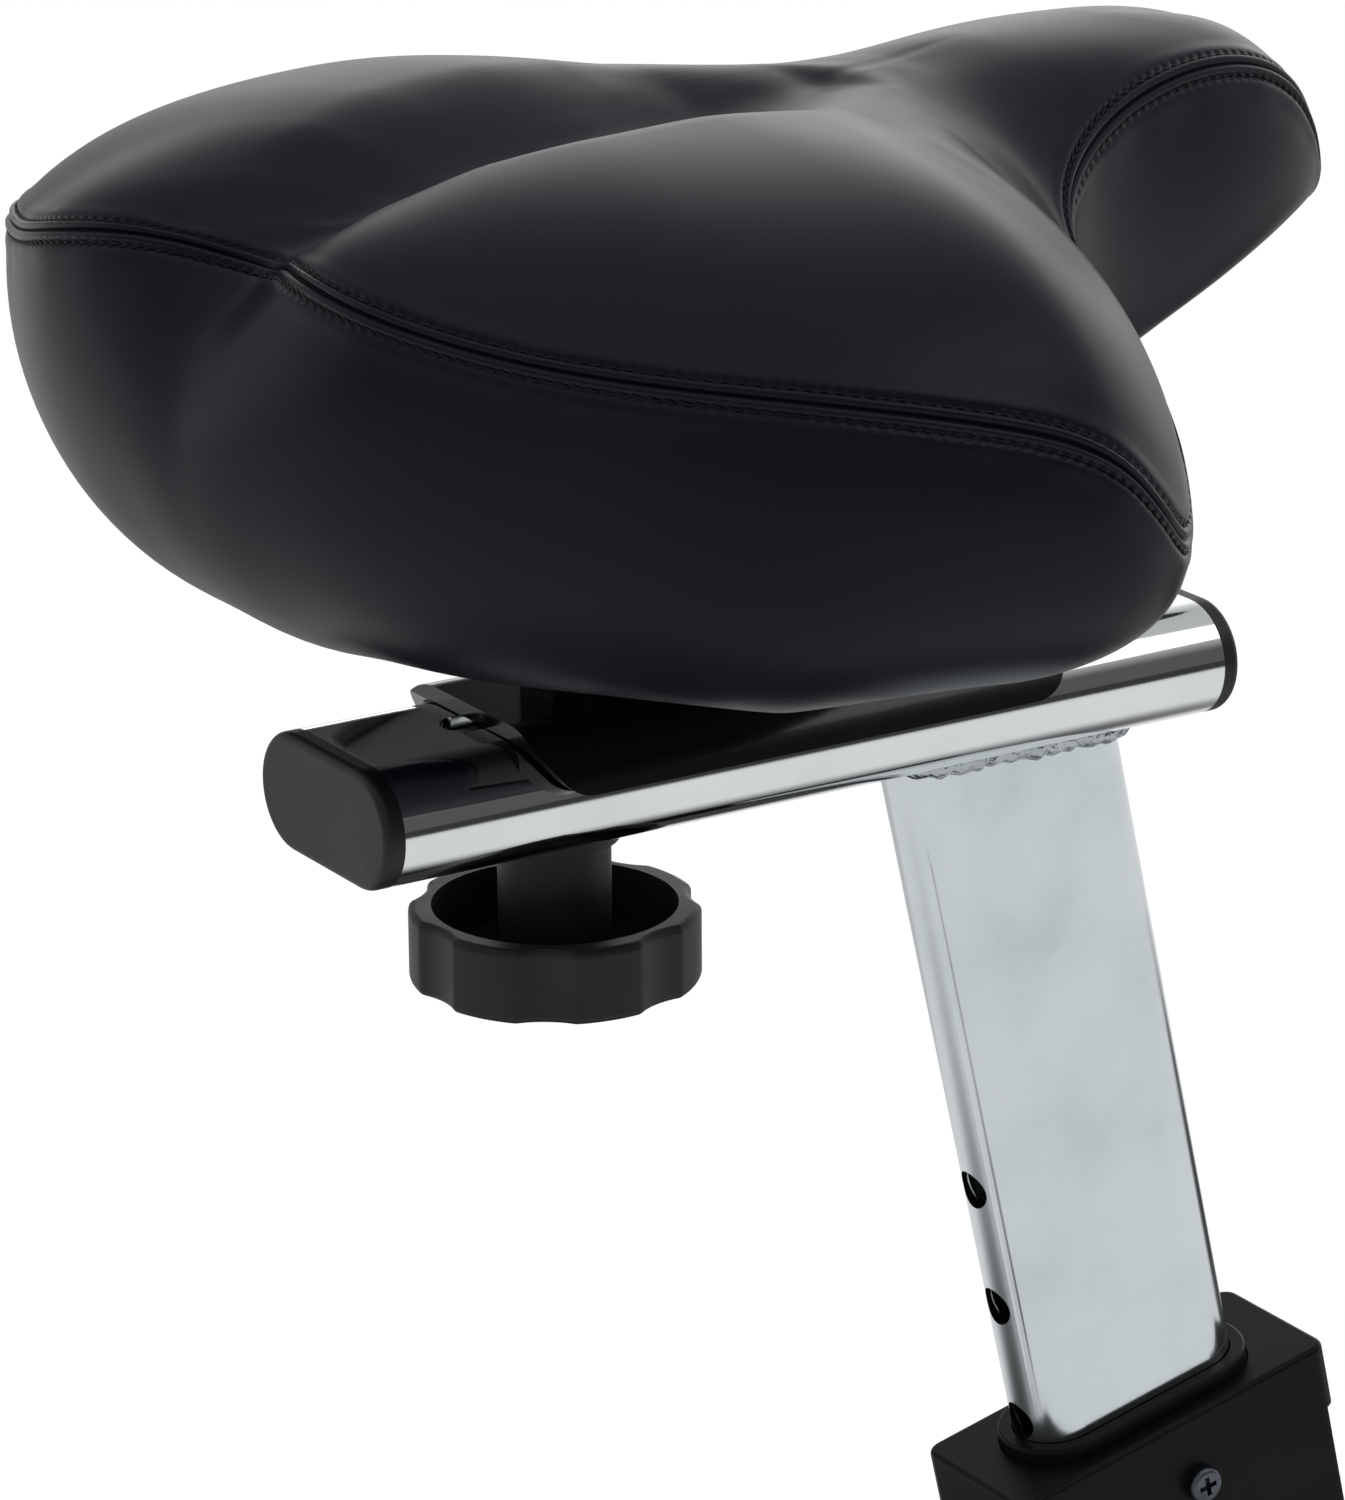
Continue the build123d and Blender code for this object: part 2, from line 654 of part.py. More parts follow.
save(saddle_pan, "saddle_pan")

# Padded cushion: two lobes with a channel between them, running into a narrow nose
with BuildPart() as saddle_cushion:
    for fore, half, seam, base_half, base, lobe, centre in stations:
        section_plane = Plane(origin=saddle_origin + saddle_fore * fore, x_dir=saddle_side, z_dir=saddle_fore)
        belly_half = half + side_bulge
        belly = base + (seam - base) * belly_share
        shoulder_half = half * shoulder_out_share
        shoulder = seam + (lobe - seam) * shoulder_up_share
        edge_half = half * channel_share
        with BuildSketch(section_plane):
            with BuildLine():
                Line((-base_half, base), (base_half, base))
                ThreePointArc((base_half, base), (belly_half, belly), (half, seam))
                ThreePointArc((half, seam), (shoulder_half, shoulder), (edge_half, lobe))
                ThreePointArc((edge_half, lobe), (0, centre), (-edge_half, lobe))
                ThreePointArc((-edge_half, lobe), (-shoulder_half, shoulder), (-half, seam))
                ThreePointArc((-half, seam), (-belly_half, belly), (-base_half, base))
            make_face()
    loft()
    add(pan_space.part, mode=Mode.SUBTRACT)
save(saddle_cushion, "saddle_cushion")

# Fluted clamp knob, open towards the slider
with BuildPart() as clamp_knob:
    with BuildSketch(Plane.XY.offset(knob_low)):
        with Locations((stud_x, 0)):
            Circle(knob_radius)
            with PolarLocations(knob_radius + flute_radius - flute_depth, knob_flutes, knob_flute_turn):
                Circle(flute_radius, mode=Mode.SUBTRACT)
    extrude(amount=knob_height)
    fillet(clamp_knob.edges().filter_by(Axis.Z), flute_edge)
    fillet(clamp_knob.faces().sort_by(Axis.Z)[0].edges(), knob_fillet)
    fillet(clamp_knob.faces().sort_by(Axis.Z)[-1].edges(), knob_fillet)
    with BuildSketch(Plane.XY.offset(knob_low + knob_floor)):
        with Locations((stud_x, 0)):
            Circle(knob_inner_radius)
    extrude(amount=knob_height, mode=Mode.SUBTRACT)
    with BuildSketch(Plane.XY.offset(knob_low + knob_floor)):
        with Locations((stud_x, 0)):
            Circle(hub_diameter / 2)
    extrude(amount=hub_top - knob_low - knob_floor)
    with BuildSketch(Plane.XY.offset(hub_top)):
        with Locations((stud_x, 0)):
            Circle(stud_diameter / 2 + nut_running_gap)
    extrude(amount=-(hub_top - knob_low - knob_floor), mode=Mode.SUBTRACT)
save(clamp_knob, "clamp_knob")

# Steel stud fixed in the knob
with BuildPart() as knob_stud:
    with BuildSketch(Plane.XY.offset(knob_low + knob_floor)):
        with Locations((stud_x, 0)):
            Circle(stud_diameter / 2)
    extrude(amount=nut_top + stud_above_nut - knob_low - knob_floor)
    chamfer(knob_stud.faces().sort_by(Axis.Z)[-1].edges(), stud_chamfer)
save(knob_stud, "knob_stud")

# Flange washer under the slider
with BuildPart() as knob_washer:
    with BuildSketch(Plane.XY.offset(hub_top)):
        with Locations((stud_x, 0)):
            Circle(washer_diameter / 2)
            Circle(stud_diameter / 2 + stud_clearance, mode=Mode.SUBTRACT)
    extrude(amount=washer_thick)
save(knob_washer, "knob_washer")
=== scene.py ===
"""Looks of an exercise bike's seat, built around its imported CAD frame.

Sizes of shapes are in millimetres, those of finishes and of the studio in metres. Saddle sizes
are measured from the centre of the slider's rear end, before the saddle is turned and leaned on
its bracket. Every mesh is written in metres in the CAD frame: X forward along the slider, Y to
the rider's left and Z up.
"""

import json
import logging
import math
from dataclasses import dataclass, replace
from enum import Enum
from typing import NamedTuple

import bpy
import numpy as np
from mathutils import Matrix, Vector


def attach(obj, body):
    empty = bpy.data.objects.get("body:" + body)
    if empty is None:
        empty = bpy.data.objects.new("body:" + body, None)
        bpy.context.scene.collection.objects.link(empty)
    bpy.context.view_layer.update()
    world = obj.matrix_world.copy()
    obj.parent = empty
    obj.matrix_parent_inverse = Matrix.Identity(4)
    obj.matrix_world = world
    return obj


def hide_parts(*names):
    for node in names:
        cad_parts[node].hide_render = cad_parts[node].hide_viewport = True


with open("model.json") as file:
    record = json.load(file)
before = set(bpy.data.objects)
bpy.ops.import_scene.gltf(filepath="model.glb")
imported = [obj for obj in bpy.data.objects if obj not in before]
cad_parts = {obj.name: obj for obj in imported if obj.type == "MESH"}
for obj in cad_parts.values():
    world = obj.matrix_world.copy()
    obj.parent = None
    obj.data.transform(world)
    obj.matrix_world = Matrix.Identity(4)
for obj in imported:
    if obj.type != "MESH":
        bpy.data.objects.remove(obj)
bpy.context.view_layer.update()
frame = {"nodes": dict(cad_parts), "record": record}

LOG = logging.getLogger("seat")
MM = 0.001
TINY = 1e-9
WHITE = (1.0, 1.0, 1.0, 1.0)

# The post's lean in degrees, and the stitch rows' distance from the seam and pitch
POST_LEAN = 12.9
STITCH_ROW = 2.8
STITCH_PITCH = 3.0

# Factors that mirror points from left to right, and that lay them flat
MIRROR = np.array([1, -1, 1])
LEVEL = np.array([1, 1, 0])

Pair = tuple[float, float]
Triple = tuple[float, float, float]
Mesh = bpy.types.Object


class Wire:
    """One output of a shader node, ready to be used in Python expressions."""

    def __init__(self, sheet: "ShaderSheet", socket: bpy.types.NodeSocket) -> None:
        """Keep the sheet that owns the node, and its output."""
        self.sheet = sheet
        self.socket = socket

    def _math(self, operation: str, *values: "Wire | float") -> "Wire":
        """Add one Math node."""
        return self.sheet.node("ShaderNodeMath", {"operation": operation}, dict(enumerate(values)))

    def __add__(self, other: "Wire | float") -> "Wire":
        """Sum of this value and another."""
        return self._math("ADD", self, other)

    def __sub__(self, other: "Wire | float") -> "Wire":
        """This value less another."""
        return self._math("SUBTRACT", self, other)

    def __rsub__(self, other: float) -> "Wire":
        """A number less this value."""
        return self._math("SUBTRACT", other, self)

    def __mul__(self, other: "Wire | float") -> "Wire":
        """Product of this value and another."""
        return self._math("MULTIPLY", self, other)

    def __abs__(self) -> "Wire":
        """Size of this value without its sign."""
        return self._math("ABSOLUTE", self)

    __radd__ = __add__
    __rmul__ = __mul__

    def cosine(self) -> "Wire":
        """Cosine of this value."""
        return self._math("COSINE", self)

    def ramp(self, low: float, high: float, start: float = 0.0, end: float = 1.0) -> "Wire":
        """Carry this value smoothly from one range to another.

        Args:
            low: Value that gives start.
            high: Value that gives end.
            start: Result at and beyond low.
            end: Result at and beyond high.

        Returns:
            The new value.
        """
        sockets = dict(enumerate((self, low, high, start, end)))
        return self.sheet.node("ShaderNodeMapRange", {"interpolation_type": "SMOOTHSTEP"}, sockets)


class ShaderSheet:
    """A node tree with the calls that write shaders into it."""

    # Sockets of a Mix node that blends colours
    mix_share = 0
    mix_first = 6
    mix_second = 7
    mix_result = 2

    def __init__(self, tree: bpy.types.NodeTree) -> None:
        """Take over a tree and empty it."""
        self.tree = tree
        self.tree.nodes.clear()

    @classmethod
    def for_material(cls, name: str) -> "ShaderSheet":
        """Start the sheet of a new material.

        Args:
            name: The material's name.

        Returns:
            The empty sheet.
        """
        material = bpy.data.materials.new(name)
        material.use_nodes = True
        sheet = cls(material.node_tree)
        sheet.material = material
        return sheet

    def node(
        self,
        kind: str,
        settings: dict[str, object] | None = None,
        sockets: dict[int | str, object] | None = None,
        output: int | str = 0,
    ) -> Wire:
        """Add any node.

        Args:
            kind: The node's type.
            settings: Its own properties, set first.
            sockets: Values or wires for its inputs, by name or number.
            output: Which output to return.

        Returns:
            The chosen output, or None for a node that has no outputs.
        """
        made = self.tree.nodes.new(kind)
        for key, value in (settings or {}).items():
            setattr(made, key, value)
        for key, value in (sockets or {}).items():
            if isinstance(value, Wire):
                self.tree.links.new(value.socket, made.inputs[key])
            else:
                made.inputs[key].default_value = value
        return Wire(self, made.outputs[output]) if made.outputs else None

    def place(self, scale: Triple = (1.0, 1.0, 1.0), tilt: float = 0.0) -> Wire:
        """Coordinates fixed to the object, stretched for streaks.

        Args:
            scale: Size of one unit of the pattern along each axis, in metres.
            tilt: Turn of the pattern about Y, in radians.

        Returns:
            The coordinates.
        """
        spot = self.node("ShaderNodeTexCoord", output="Object")
        sockets = {"Vector": spot, "Rotation": (0.0, tilt, 0.0), "Scale": scale}
        return self.node("ShaderNodeMapping", {"vector_type": "TEXTURE"}, sockets)

    def part(self, vector: Wire, axis: str) -> Wire:
        """One coordinate of a vector."""
        return self.node("ShaderNodeSeparateXYZ", None, {0: vector}, axis)

    def toward(self, vector: Wire, way: Triple) -> Wire:
        """How far a vector goes along a direction."""
        dot = {"operation": "DOT_PRODUCT"}
        return self.node("ShaderNodeVectorMath", dot, {0: vector, 1: way}, "Value")

    def noise(self, where: Wire, scale: float, detail: float) -> Wire:
        """Soft noise between 0 and 1."""
        return self.node("ShaderNodeTexNoise", None, {"Vector": where, "Scale": scale, "Detail": detail})

    def mix(self, share: Wire, first: Wire | Triple, second: Triple) -> Wire:
        """Blend two colours.

        Args:
            share: Share of the second, from 0 to 1.
            first: A colour, or a wire that carries one.
            second: The other colour.

        Returns:
            The blend.
        """
        start = first if isinstance(first, Wire) else (*first, 1.0)
        sockets = {self.mix_share: share, self.mix_first: start, self.mix_second: (*second, 1.0)}
        return self.node("ShaderNodeMix", {"data_type": "RGBA"}, sockets, self.mix_result)

    def bump(self, height: Wire, depth: float, strength: float = 1.0, onto: Wire | None = None) -> Wire:
        """Turn a height pattern into a bumped normal.

        Args:
            height: The pattern.
            depth: Its depth in metres.
            strength: Share of the bump that shows.
            onto: Another bumped normal that this one is laid on.

        Returns:
            The normal.
        """
        sockets = {"Height": height, "Distance": depth, "Strength": strength}
        if onto is not None:
            sockets["Normal"] = onto
        return self.node("ShaderNodeBump", None, sockets)

    def surface(self, **sockets: object) -> bpy.types.Material:
        """Close the sheet with one Principled shader.

        Args:
            sockets: Values or wires of the shader's inputs, with underscores for spaces.

        Returns:
            The finished material.
        """
        named = {key.replace("_", " "): value for key, value in sockets.items()}
        shader = self.node("ShaderNodeBsdfPrincipled", None, named)
        self.node("ShaderNodeOutputMaterial", None, {"Surface": shader})
        return self.material


@dataclass(frozen=True)
class SaddleLeather:
    """Black coated leathercloth with a fine grain, a soft sheen, dimples at its stitches and painted shade in
    the seam's valley.

    Noises are a scale in cycles per metre and a detail, here and in the other finishes.
    """

    shade: Triple = (0.0064, 0.0072, 0.0148)
    worn_shade: Triple = (0.0087, 0.0098, 0.0174)
    worn: Pair = (14.0, 3.0)
    worn_range: Pair = (0.35, 0.75)
    worn_rough: float = 0.08
    # Painted shade in the seam's valley: its colour, how much of it covers, where it fades out, and its added
    # roughness
    valley_painted_shade: Triple = (0.002, 0.002, 0.002)
    valley_cover: float = 0.85
    valley_edge: Pair = (0.0001, 0.0006)
    valley_rough: float = 0.3
    cells: float = 1 / 0.0011
    cell_height: float = 0.7
    pores: Pair = (2600.0, 2.0)
    pore_height: float = 0.5
    pore_rough: float = 0.04
    grain_depth: float = 0.00003
    grain_strength: float = 0.6
    strip_edge: Pair = (0.0022, 0.0050)
    strip_smooth: float = 0.03
    dimple_half: float = 0.0016
    dimple_depth: float = 0.00035
    dimple_strength: float = 0.8
    roughness: float = 0.30
    specular: float = 0.12

    def material(self) -> bpy.types.Material:
        """Write the finish, with what lies beside the seam read from its own coordinates.

        Returns:
            The material.
        """
        sheet = ShaderSheet.for_material("saddle_leather")
        spot = sheet.place()
        worn = sheet.noise(spot, *self.worn)
        pores = sheet.noise(spot, *self.pores)
        smooth = {"feature": "SMOOTH_F1"}
        cells = sheet.node("ShaderNodeTexVoronoi", smooth, {"Vector": spot, "Scale": self.cells})
        seam = sheet.node("ShaderNodeUVMap", {"uv_map": "seam"})
        across = abs(sheet.part(seam, "Y"))
        in_row = abs(across - STITCH_ROW * MM).ramp(0.0, self.dimple_half, 1.0, 0.0)
        wave = (sheet.part(seam, "X") * (math.tau / (STITCH_PITCH * MM))).cosine()
        dimple = in_row * (wave * 0.5 + 0.5)
        # Painted shade: the colour darkens in the seam's valley
        valley = across.ramp(*self.valley_edge, 1.0, 0.0)
        strip = across.ramp(*self.strip_edge, 1.0, 0.0)
        tint = sheet.mix(worn.ramp(*self.worn_range), self.shade, self.worn_shade)
        rough = self.roughness + worn * self.worn_rough + pores * self.pore_rough
        grain = cells * self.cell_height + pores * self.pore_height
        fine = sheet.bump(grain, self.grain_depth, self.grain_strength)
        return sheet.surface(
            Base_Color=sheet.mix(valley * self.valley_cover, tint, self.valley_painted_shade),
            Roughness=rough - strip * self.strip_smooth + valley * self.valley_rough,
            Specular_IOR_Level=self.specular,
            Normal=sheet.bump(0.0 - dimple, self.dimple_depth, self.dimple_strength, fine),
        )


class Run(Enum):
    """Direction in which a drawn tube's fine lines run, as a tilt about Y in radians."""

    ALONG_SLIDER = math.radians(90.0)
    ALONG_POST = math.radians(-POST_LEAN)


@dataclass(frozen=True)
class BrightPlating:
    """Polished plating on a drawn tube, with fine lines, clouds and specks.

    A press_depth adds the post's pressed line, which lies press_place forward of the tube's middle
    and fades in over press_run and out over press_end up the tube, and painted shade on the walls of
    the holes in its rear. A bead_depth adds the weld's lumps.
    """

    name: str
    run: Run
    shade: Triple = (0.80, 0.825, 0.835)
    cloud_shade: Triple = (0.74, 0.765, 0.775)
    roughness: float = 0.055
    cloud_rough: float = 0.05
    clouds: Pair = (32.0, 5.0)
    cloud_range: Pair = (0.4, 0.75)
    haze_range: Pair = (0.45, 0.8)
    line_size: Triple = (0.0009, 0.0009, 0.22)
    line_noise: Pair = (1.0, 3.0)
    line_depth: float = 0.000006
    line_rough: float = 0.02
    specks: Pair = (420.0, 2.0)
    speck_range: Pair = (0.66, 0.8)
    speck_rough: float = 0.05
    speck_height: float = 0.3
    bead_lumps: Pair = (260.0, 3.0)
    bead_depth: float = 0.0
    press_place: float = -0.0262
    press_half: float = 0.0006
    press_floor: float = 0.3
    press_run: Pair = (0.27, 0.36)
    press_end: Pair = (0.416, 0.428)
    press_depth: float = 0.0
    # Painted shade on the walls of the holes in the post's rear: where they lie and turn, their colour and
    # added roughness
    hole_walls: Pair = (-0.0262, -0.0256)
    hole_turn: Pair = (0.35, 0.6)
    hole_painted_shade: Triple = (0.02, 0.02, 0.02)
    hole_rough: float = 0.6

    def material(self) -> bpy.types.Material:
        """Write the finish.

        Returns:
            The material.
        """
        sheet = ShaderSheet.for_material(self.name)
        lines = sheet.noise(sheet.place(self.line_size, self.run.value), *self.line_noise)
        spot = sheet.place()
        clouds = sheet.noise(spot, *self.clouds)
        specks = sheet.noise(spot, *self.specks)
        tint = sheet.mix(clouds.ramp(*self.cloud_range), self.shade, self.cloud_shade)
        rough = self.roughness + clouds.ramp(*self.haze_range) * self.cloud_rough
        rough = rough + lines * self.line_rough + specks.ramp(*self.speck_range) * self.speck_rough
        normal = sheet.bump(lines + specks * self.speck_height, self.line_depth)
        if self.press_depth:
            tube = sheet.place(tilt=self.run.value)
            fore = sheet.part(tube, "X")
            up = sheet.part(tube, "Z")
            rearward = (-math.cos(self.run.value), 0.0, math.sin(self.run.value))
            turned = abs(sheet.toward(sheet.node("ShaderNodeTexCoord", output="Normal"), rearward))
            # Painted shade: the walls of the holes darken and turn rougher
            in_hole = turned.ramp(*self.hole_turn, 1.0, 0.0) * fore.ramp(*self.hole_walls, 1.0, 0.0)
            tint = sheet.mix(in_hole, tint, self.hole_painted_shade)
            rough = rough + in_hole * self.hole_rough
            fading = up.ramp(*self.press_run) * up.ramp(*self.press_end, 1.0, 0.0)
            flat = self.press_floor * self.press_half
            inside = abs(fore - self.press_place).ramp(flat, self.press_half, 1.0, 0.0)
            normal = sheet.bump(1.0 - inside * fading, self.press_depth, onto=normal)
        if self.bead_depth:
            normal = sheet.bump(sheet.noise(spot, *self.bead_lumps), self.bead_depth, onto=normal)
        return sheet.surface(Base_Color=tint, Metallic=1.0, Roughness=rough, Normal=normal)


class Grain(Enum):
    """Fine patterns of plain finishes: their noise, their depth in metres and its strength."""

    TWIST = (5200.0, 1.0, 0.00008, 0.7)
    PEEL = (330.0, 2.0, 0.00004, 0.6)
    SPARK = (1 / 0.00045, 2.0, 0.000035, 0.8)
    SATIN = (1 / 0.0011, 2.0, 0.000022, 0.8)
    CRYSTAL = (1800.0, 2.0, 0.00002, 0.6)


class Blotch(Enum):
    """Coarse patterns: their noise, the range of it that changes the shade, and by how much."""

    FUZZ = (420.0, 2.0, 0.45, 0.75, 1.0)
    DUST = (60.0, 4.0, 0.5, 0.8, 0.5)
    SCUFFS = (55.0, 5.0, 0.48, 0.85, 1.0)
    CLOUDS = (260.0, 4.0, 0.4, 0.7, 1.0)


@dataclass(frozen=True)
class PlainFinish:
    """A finish of one grain and one kind of blotch.

    Roughness changes with the grain by grain_rough and with the blotches by blotch_rough, and
    falls by rubbed over rub_range of the blotches.
    """

    name: str
    grain: Grain
    blotch: Blotch
    shade: Triple
    blotch_shade: Triple
    roughness: float
    grain_rough: float = 0.0
    blotch_rough: float = 0.0
    rubbed: float = 0.0
    rub_range: Pair = (0.5, 0.8)
    metallic: float = 0.0
    specular: float = 0.5
    coat: float = 0.0
    coat_rough: float = 0.06

    def material(self) -> bpy.types.Material:
        """Write the finish.

        Returns:
            The material.
        """
        sheet = ShaderSheet.for_material(self.name)
        spot = sheet.place()
        grain_scale, grain_detail, depth, strength = self.grain.value
        grain = sheet.noise(spot, grain_scale, grain_detail)
        scale, detail, low, high, share = self.blotch.value
        blotch = sheet.noise(spot, scale, detail)
        rough = self.roughness + grain * self.grain_rough + blotch * self.blotch_rough
        return sheet.surface(
            Base_Color=sheet.mix(blotch.ramp(low, high) * share, self.shade, self.blotch_shade),
            Metallic=self.metallic,
            Roughness=rough - blotch.ramp(*self.rub_range) * self.rubbed,
            Specular_IOR_Level=self.specular,
            Coat_Weight=self.coat,
            Coat_Roughness=self.coat_rough,
            Normal=sheet.bump(grain, depth, strength),
        )


# Chrome on the slider, satin plating on the post and dull plating on its weld
SLIDER_CHROME = BrightPlating("slider_chrome", Run.ALONG_SLIDER)
POST_PLATING = BrightPlating(
    "post_plating",
    Run.ALONG_POST,
    shade=(0.70, 0.755, 0.775),
    cloud_shade=(0.64, 0.695, 0.715),
    roughness=0.13,
    cloud_rough=0.12,
    press_depth=0.0004,
)
WELD_PLATING = BrightPlating(
    "weld_plating",
    Run.ALONG_POST,
    shade=(0.50, 0.545, 0.565),
    cloud_shade=(0.36, 0.395, 0.415),
    roughness=0.2,
    cloud_rough=0.1,
    bead_depth=0.0016,
)

# Dark twisted thread with a faint red-brown cast
SEAM_THREAD = PlainFinish(
    "seam_thread",
    Grain.TWIST,
    Blotch.FUZZ,
    shade=(0.0030, 0.0018, 0.0018),
    blotch_shade=(0.0090, 0.0040, 0.0038),
    roughness=0.38,
    grain_rough=0.2,
    specular=0.2,
)

# Black stoved paint with a light orange peel, glossy on the bracket and duller on the frame
BRACKET_PAINT = PlainFinish(
    "bracket_paint",
    Grain.PEEL,
    Blotch.DUST,
    shade=(0.0075, 0.0076, 0.008),
    blotch_shade=(0.02, 0.02, 0.021),
    roughness=0.13,
    blotch_rough=0.10,
    specular=0.35,
    coat=0.12,
)
FRAME_PAINT = replace(BRACKET_PAINT, name="frame_paint", shade=(0.010, 0.010, 0.0105), roughness=0.28)

# Black moulded plastic with the tool's texture and faint scuffs
BLACK_PLASTIC = PlainFinish(
    "black_plastic",
    Grain.SPARK,
    Blotch.SCUFFS,
    shade=(0.0060, 0.0062, 0.0066),
    blotch_shade=(0.011, 0.0112, 0.012),
    roughness=0.46,
    grain_rough=0.08,
    rubbed=0.06,
    specular=0.42,
)
SHROUD_PLASTIC = replace(
    BLACK_PLASTIC, name="shroud_plastic", grain=Grain.SATIN, roughness=0.34, specular=0.10
)
PAN_PLASTIC = replace(BLACK_PLASTIC, name="pan_plastic", roughness=0.55)

# Bright zinc on fasteners and the pull pin
ZINC_PLATE = PlainFinish(
    "zinc_plate",
    Grain.CRYSTAL,
    Blotch.CLOUDS,
    shade=(0.11, 0.12, 0.14),
    blotch_shade=(0.07, 0.078, 0.092),
    roughness=0.24,
    blotch_rough=0.22,
    metallic=1.0,
)


class Curves:
    """Lines and uneven fields that the saddle and the weld are drawn with."""

    waves = 7
    wave_spread = (0.7, 1.5)

    @staticmethod
    def closed_spline(points: np.ndarray, knots: np.ndarray, at: np.ndarray) -> np.ndarray:
        """Read a smooth closed curve.

        Args:
            points: Points of the curve, with the first repeated at the end.
            knots: Parameter of each point.
            at: Parameters to read.

        Returns:
            One point for each parameter.
        """
        gaps = np.diff(knots)
        count = len(gaps)
        slopes = np.diff(points, axis=0) / gaps[:, None]
        system = np.zeros((count, count))
        for i in range(count):
            system[i, i - 1] += gaps[i - 1]
            system[i, i] += 2 * (gaps[i - 1] + gaps[i])
            system[i, (i + 1) % count] += gaps[i]
        bends = np.linalg.solve(system, 6 * (slopes - np.roll(slopes, 1, axis=0)))
        bends = np.vstack([bends, bends[:1]])
        cell = np.clip(np.searchsorted(knots, at, "right") - 1, 0, count - 1)
        gap = gaps[cell][:, None]
        ahead = (knots[cell + 1] - at)[:, None] / gap
        past = 1 - ahead
        curve = (ahead**3 - ahead) * bends[cell] + (past**3 - past) * bends[cell + 1]
        return ahead * points[cell] + past * points[cell + 1] + curve * gap**2 / 6

    @staticmethod
    def even_line(knots: np.ndarray, values: np.ndarray, at: np.ndarray) -> np.ndarray:
        """Read a smooth line through values that never overshoots them.

        Args:
            knots: Parameter of each value.
            values: The values.
            at: Parameters to read.

        Returns:
            One number for each parameter.
        """
        gaps = np.diff(knots)
        slopes = np.diff(values) / gaps
        tangents = np.zeros(len(values))
        for i in range(1, len(values) - 1):
            if slopes[i - 1] * slopes[i] > 0:
                near = 2 * gaps[i] + gaps[i - 1]
                far = gaps[i] + 2 * gaps[i - 1]
                tangents[i] = (near + far) / (near / slopes[i - 1] + far / slopes[i])
        cell = np.clip(np.searchsorted(knots, at, "right") - 1, 0, len(gaps) - 1)
        gap = gaps[cell]
        t = (at - knots[cell]) / gap
        rise = (1 + 2 * t) * (1 - t) ** 2 * values[cell] + t**2 * (3 - 2 * t) * values[cell + 1]
        lean = t * (1 - t) ** 2 * tangents[cell] - t**2 * (1 - t) * tangents[cell + 1]
        return rise + gap * lean

    @staticmethod
    def bezier(handles: np.ndarray, at: np.ndarray) -> np.ndarray:
        """Read one cubic curve per column.

        Args:
            handles: Four control points for each column.
            at: Parameters from 0 to 1, a row for each column.

        Returns:
            Points, by column and parameter.
        """
        t = at[:, :, None]
        first, second, third, last = (handles[:, i, None, :] for i in range(4))
        return (1 - t) ** 3 * first + 3 * (1 - t) ** 2 * t * second + 3 * (1 - t) * t**2 * third + t**3 * last

    @classmethod
    def ripple(cls, points: np.ndarray, wavelength: float, seed: int) -> np.ndarray:
        """Smooth uneven field from a few crossed waves, about -1 to 1.

        Args:
            points: Places to read.
            wavelength: Typical distance between crests.
            seed: Choice of waves.

        Returns:
            One number for each place.
        """
        draw = np.random.default_rng(seed)
        total = np.zeros(points.shape[:-1])
        for _ in range(cls.waves):
            heading = draw.normal(size=3)
            heading *= math.tau / (wavelength * draw.uniform(*cls.wave_spread) * np.linalg.norm(heading))
            total += np.sin(points @ heading + draw.uniform(0.0, math.tau))
        return total / (cls.waves / 2)

    @staticmethod
    def hump(away: np.ndarray, width: float) -> np.ndarray:
        """A rounded hump of height 1 by the distance from its middle."""
        return np.exp(-((away / width) ** 2))

    @staticmethod
    def walked(lines: np.ndarray) -> np.ndarray:
        """Distance along a line, or along each of many, at each of its points."""
        steps = np.linalg.norm(np.diff(lines, axis=-2), axis=-1)
        return np.concatenate([np.zeros((*steps.shape[:-1], 1)), np.cumsum(steps, axis=-1)], axis=-1)

    @staticmethod
    def read(line: np.ndarray, walked: np.ndarray, at: np.ndarray) -> np.ndarray:
        """Points of a line at distances along it."""
        return np.stack([np.interp(at, walked, line[:, k]) for k in range(3)], -1)

    @staticmethod
    def unit(ways: np.ndarray) -> np.ndarray:
        """Directions, brought to length 1."""
        return ways / np.maximum(np.linalg.norm(ways, axis=-1, keepdims=True), TINY)

    @staticmethod
    def closed(line: np.ndarray) -> np.ndarray:
        """A line with its first point repeated at the end."""
        return np.concatenate([line, line[:1]])


def grid_quads(values: np.ndarray) -> list[list]:
    """Read a grid that closes round its columns as quads.

    Args:
        values: Corner numbers, or a value for each corner, by column and row.

    Returns:
        The four corners' values of each quad, column by column.
    """
    after = np.roll(values, -1, axis=0)
    corners = (values[:, :-1], after[:, :-1], after[:, 1:], values[:, 1:])
    return np.stack(corners, -1).reshape(-1, 4).tolist()


def new_piece(name: str, points: np.ndarray, faces: list, finish: bpy.types.Material | None) -> Mesh:
    """Make a smooth-shaded mesh object.

    Args:
        name: Name of the piece.
        points: Corners in millimetres in the CAD frame.
        faces: Corner numbers of each face.
        finish: Its material, or None.

    Returns:
        The object, linked to the scene.
    """
    data = bpy.data.meshes.new(name)
    data.from_pydata((np.asarray(points, float).reshape(-1, 3) * MM).tolist(), [], faces)
    data.polygons.foreach_set("use_smooth", np.ones(len(data.polygons), bool))
    data.materials.append(finish)
    data.update()
    piece = bpy.data.objects.new(name, data)
    bpy.context.scene.collection.objects.link(piece)
    return piece


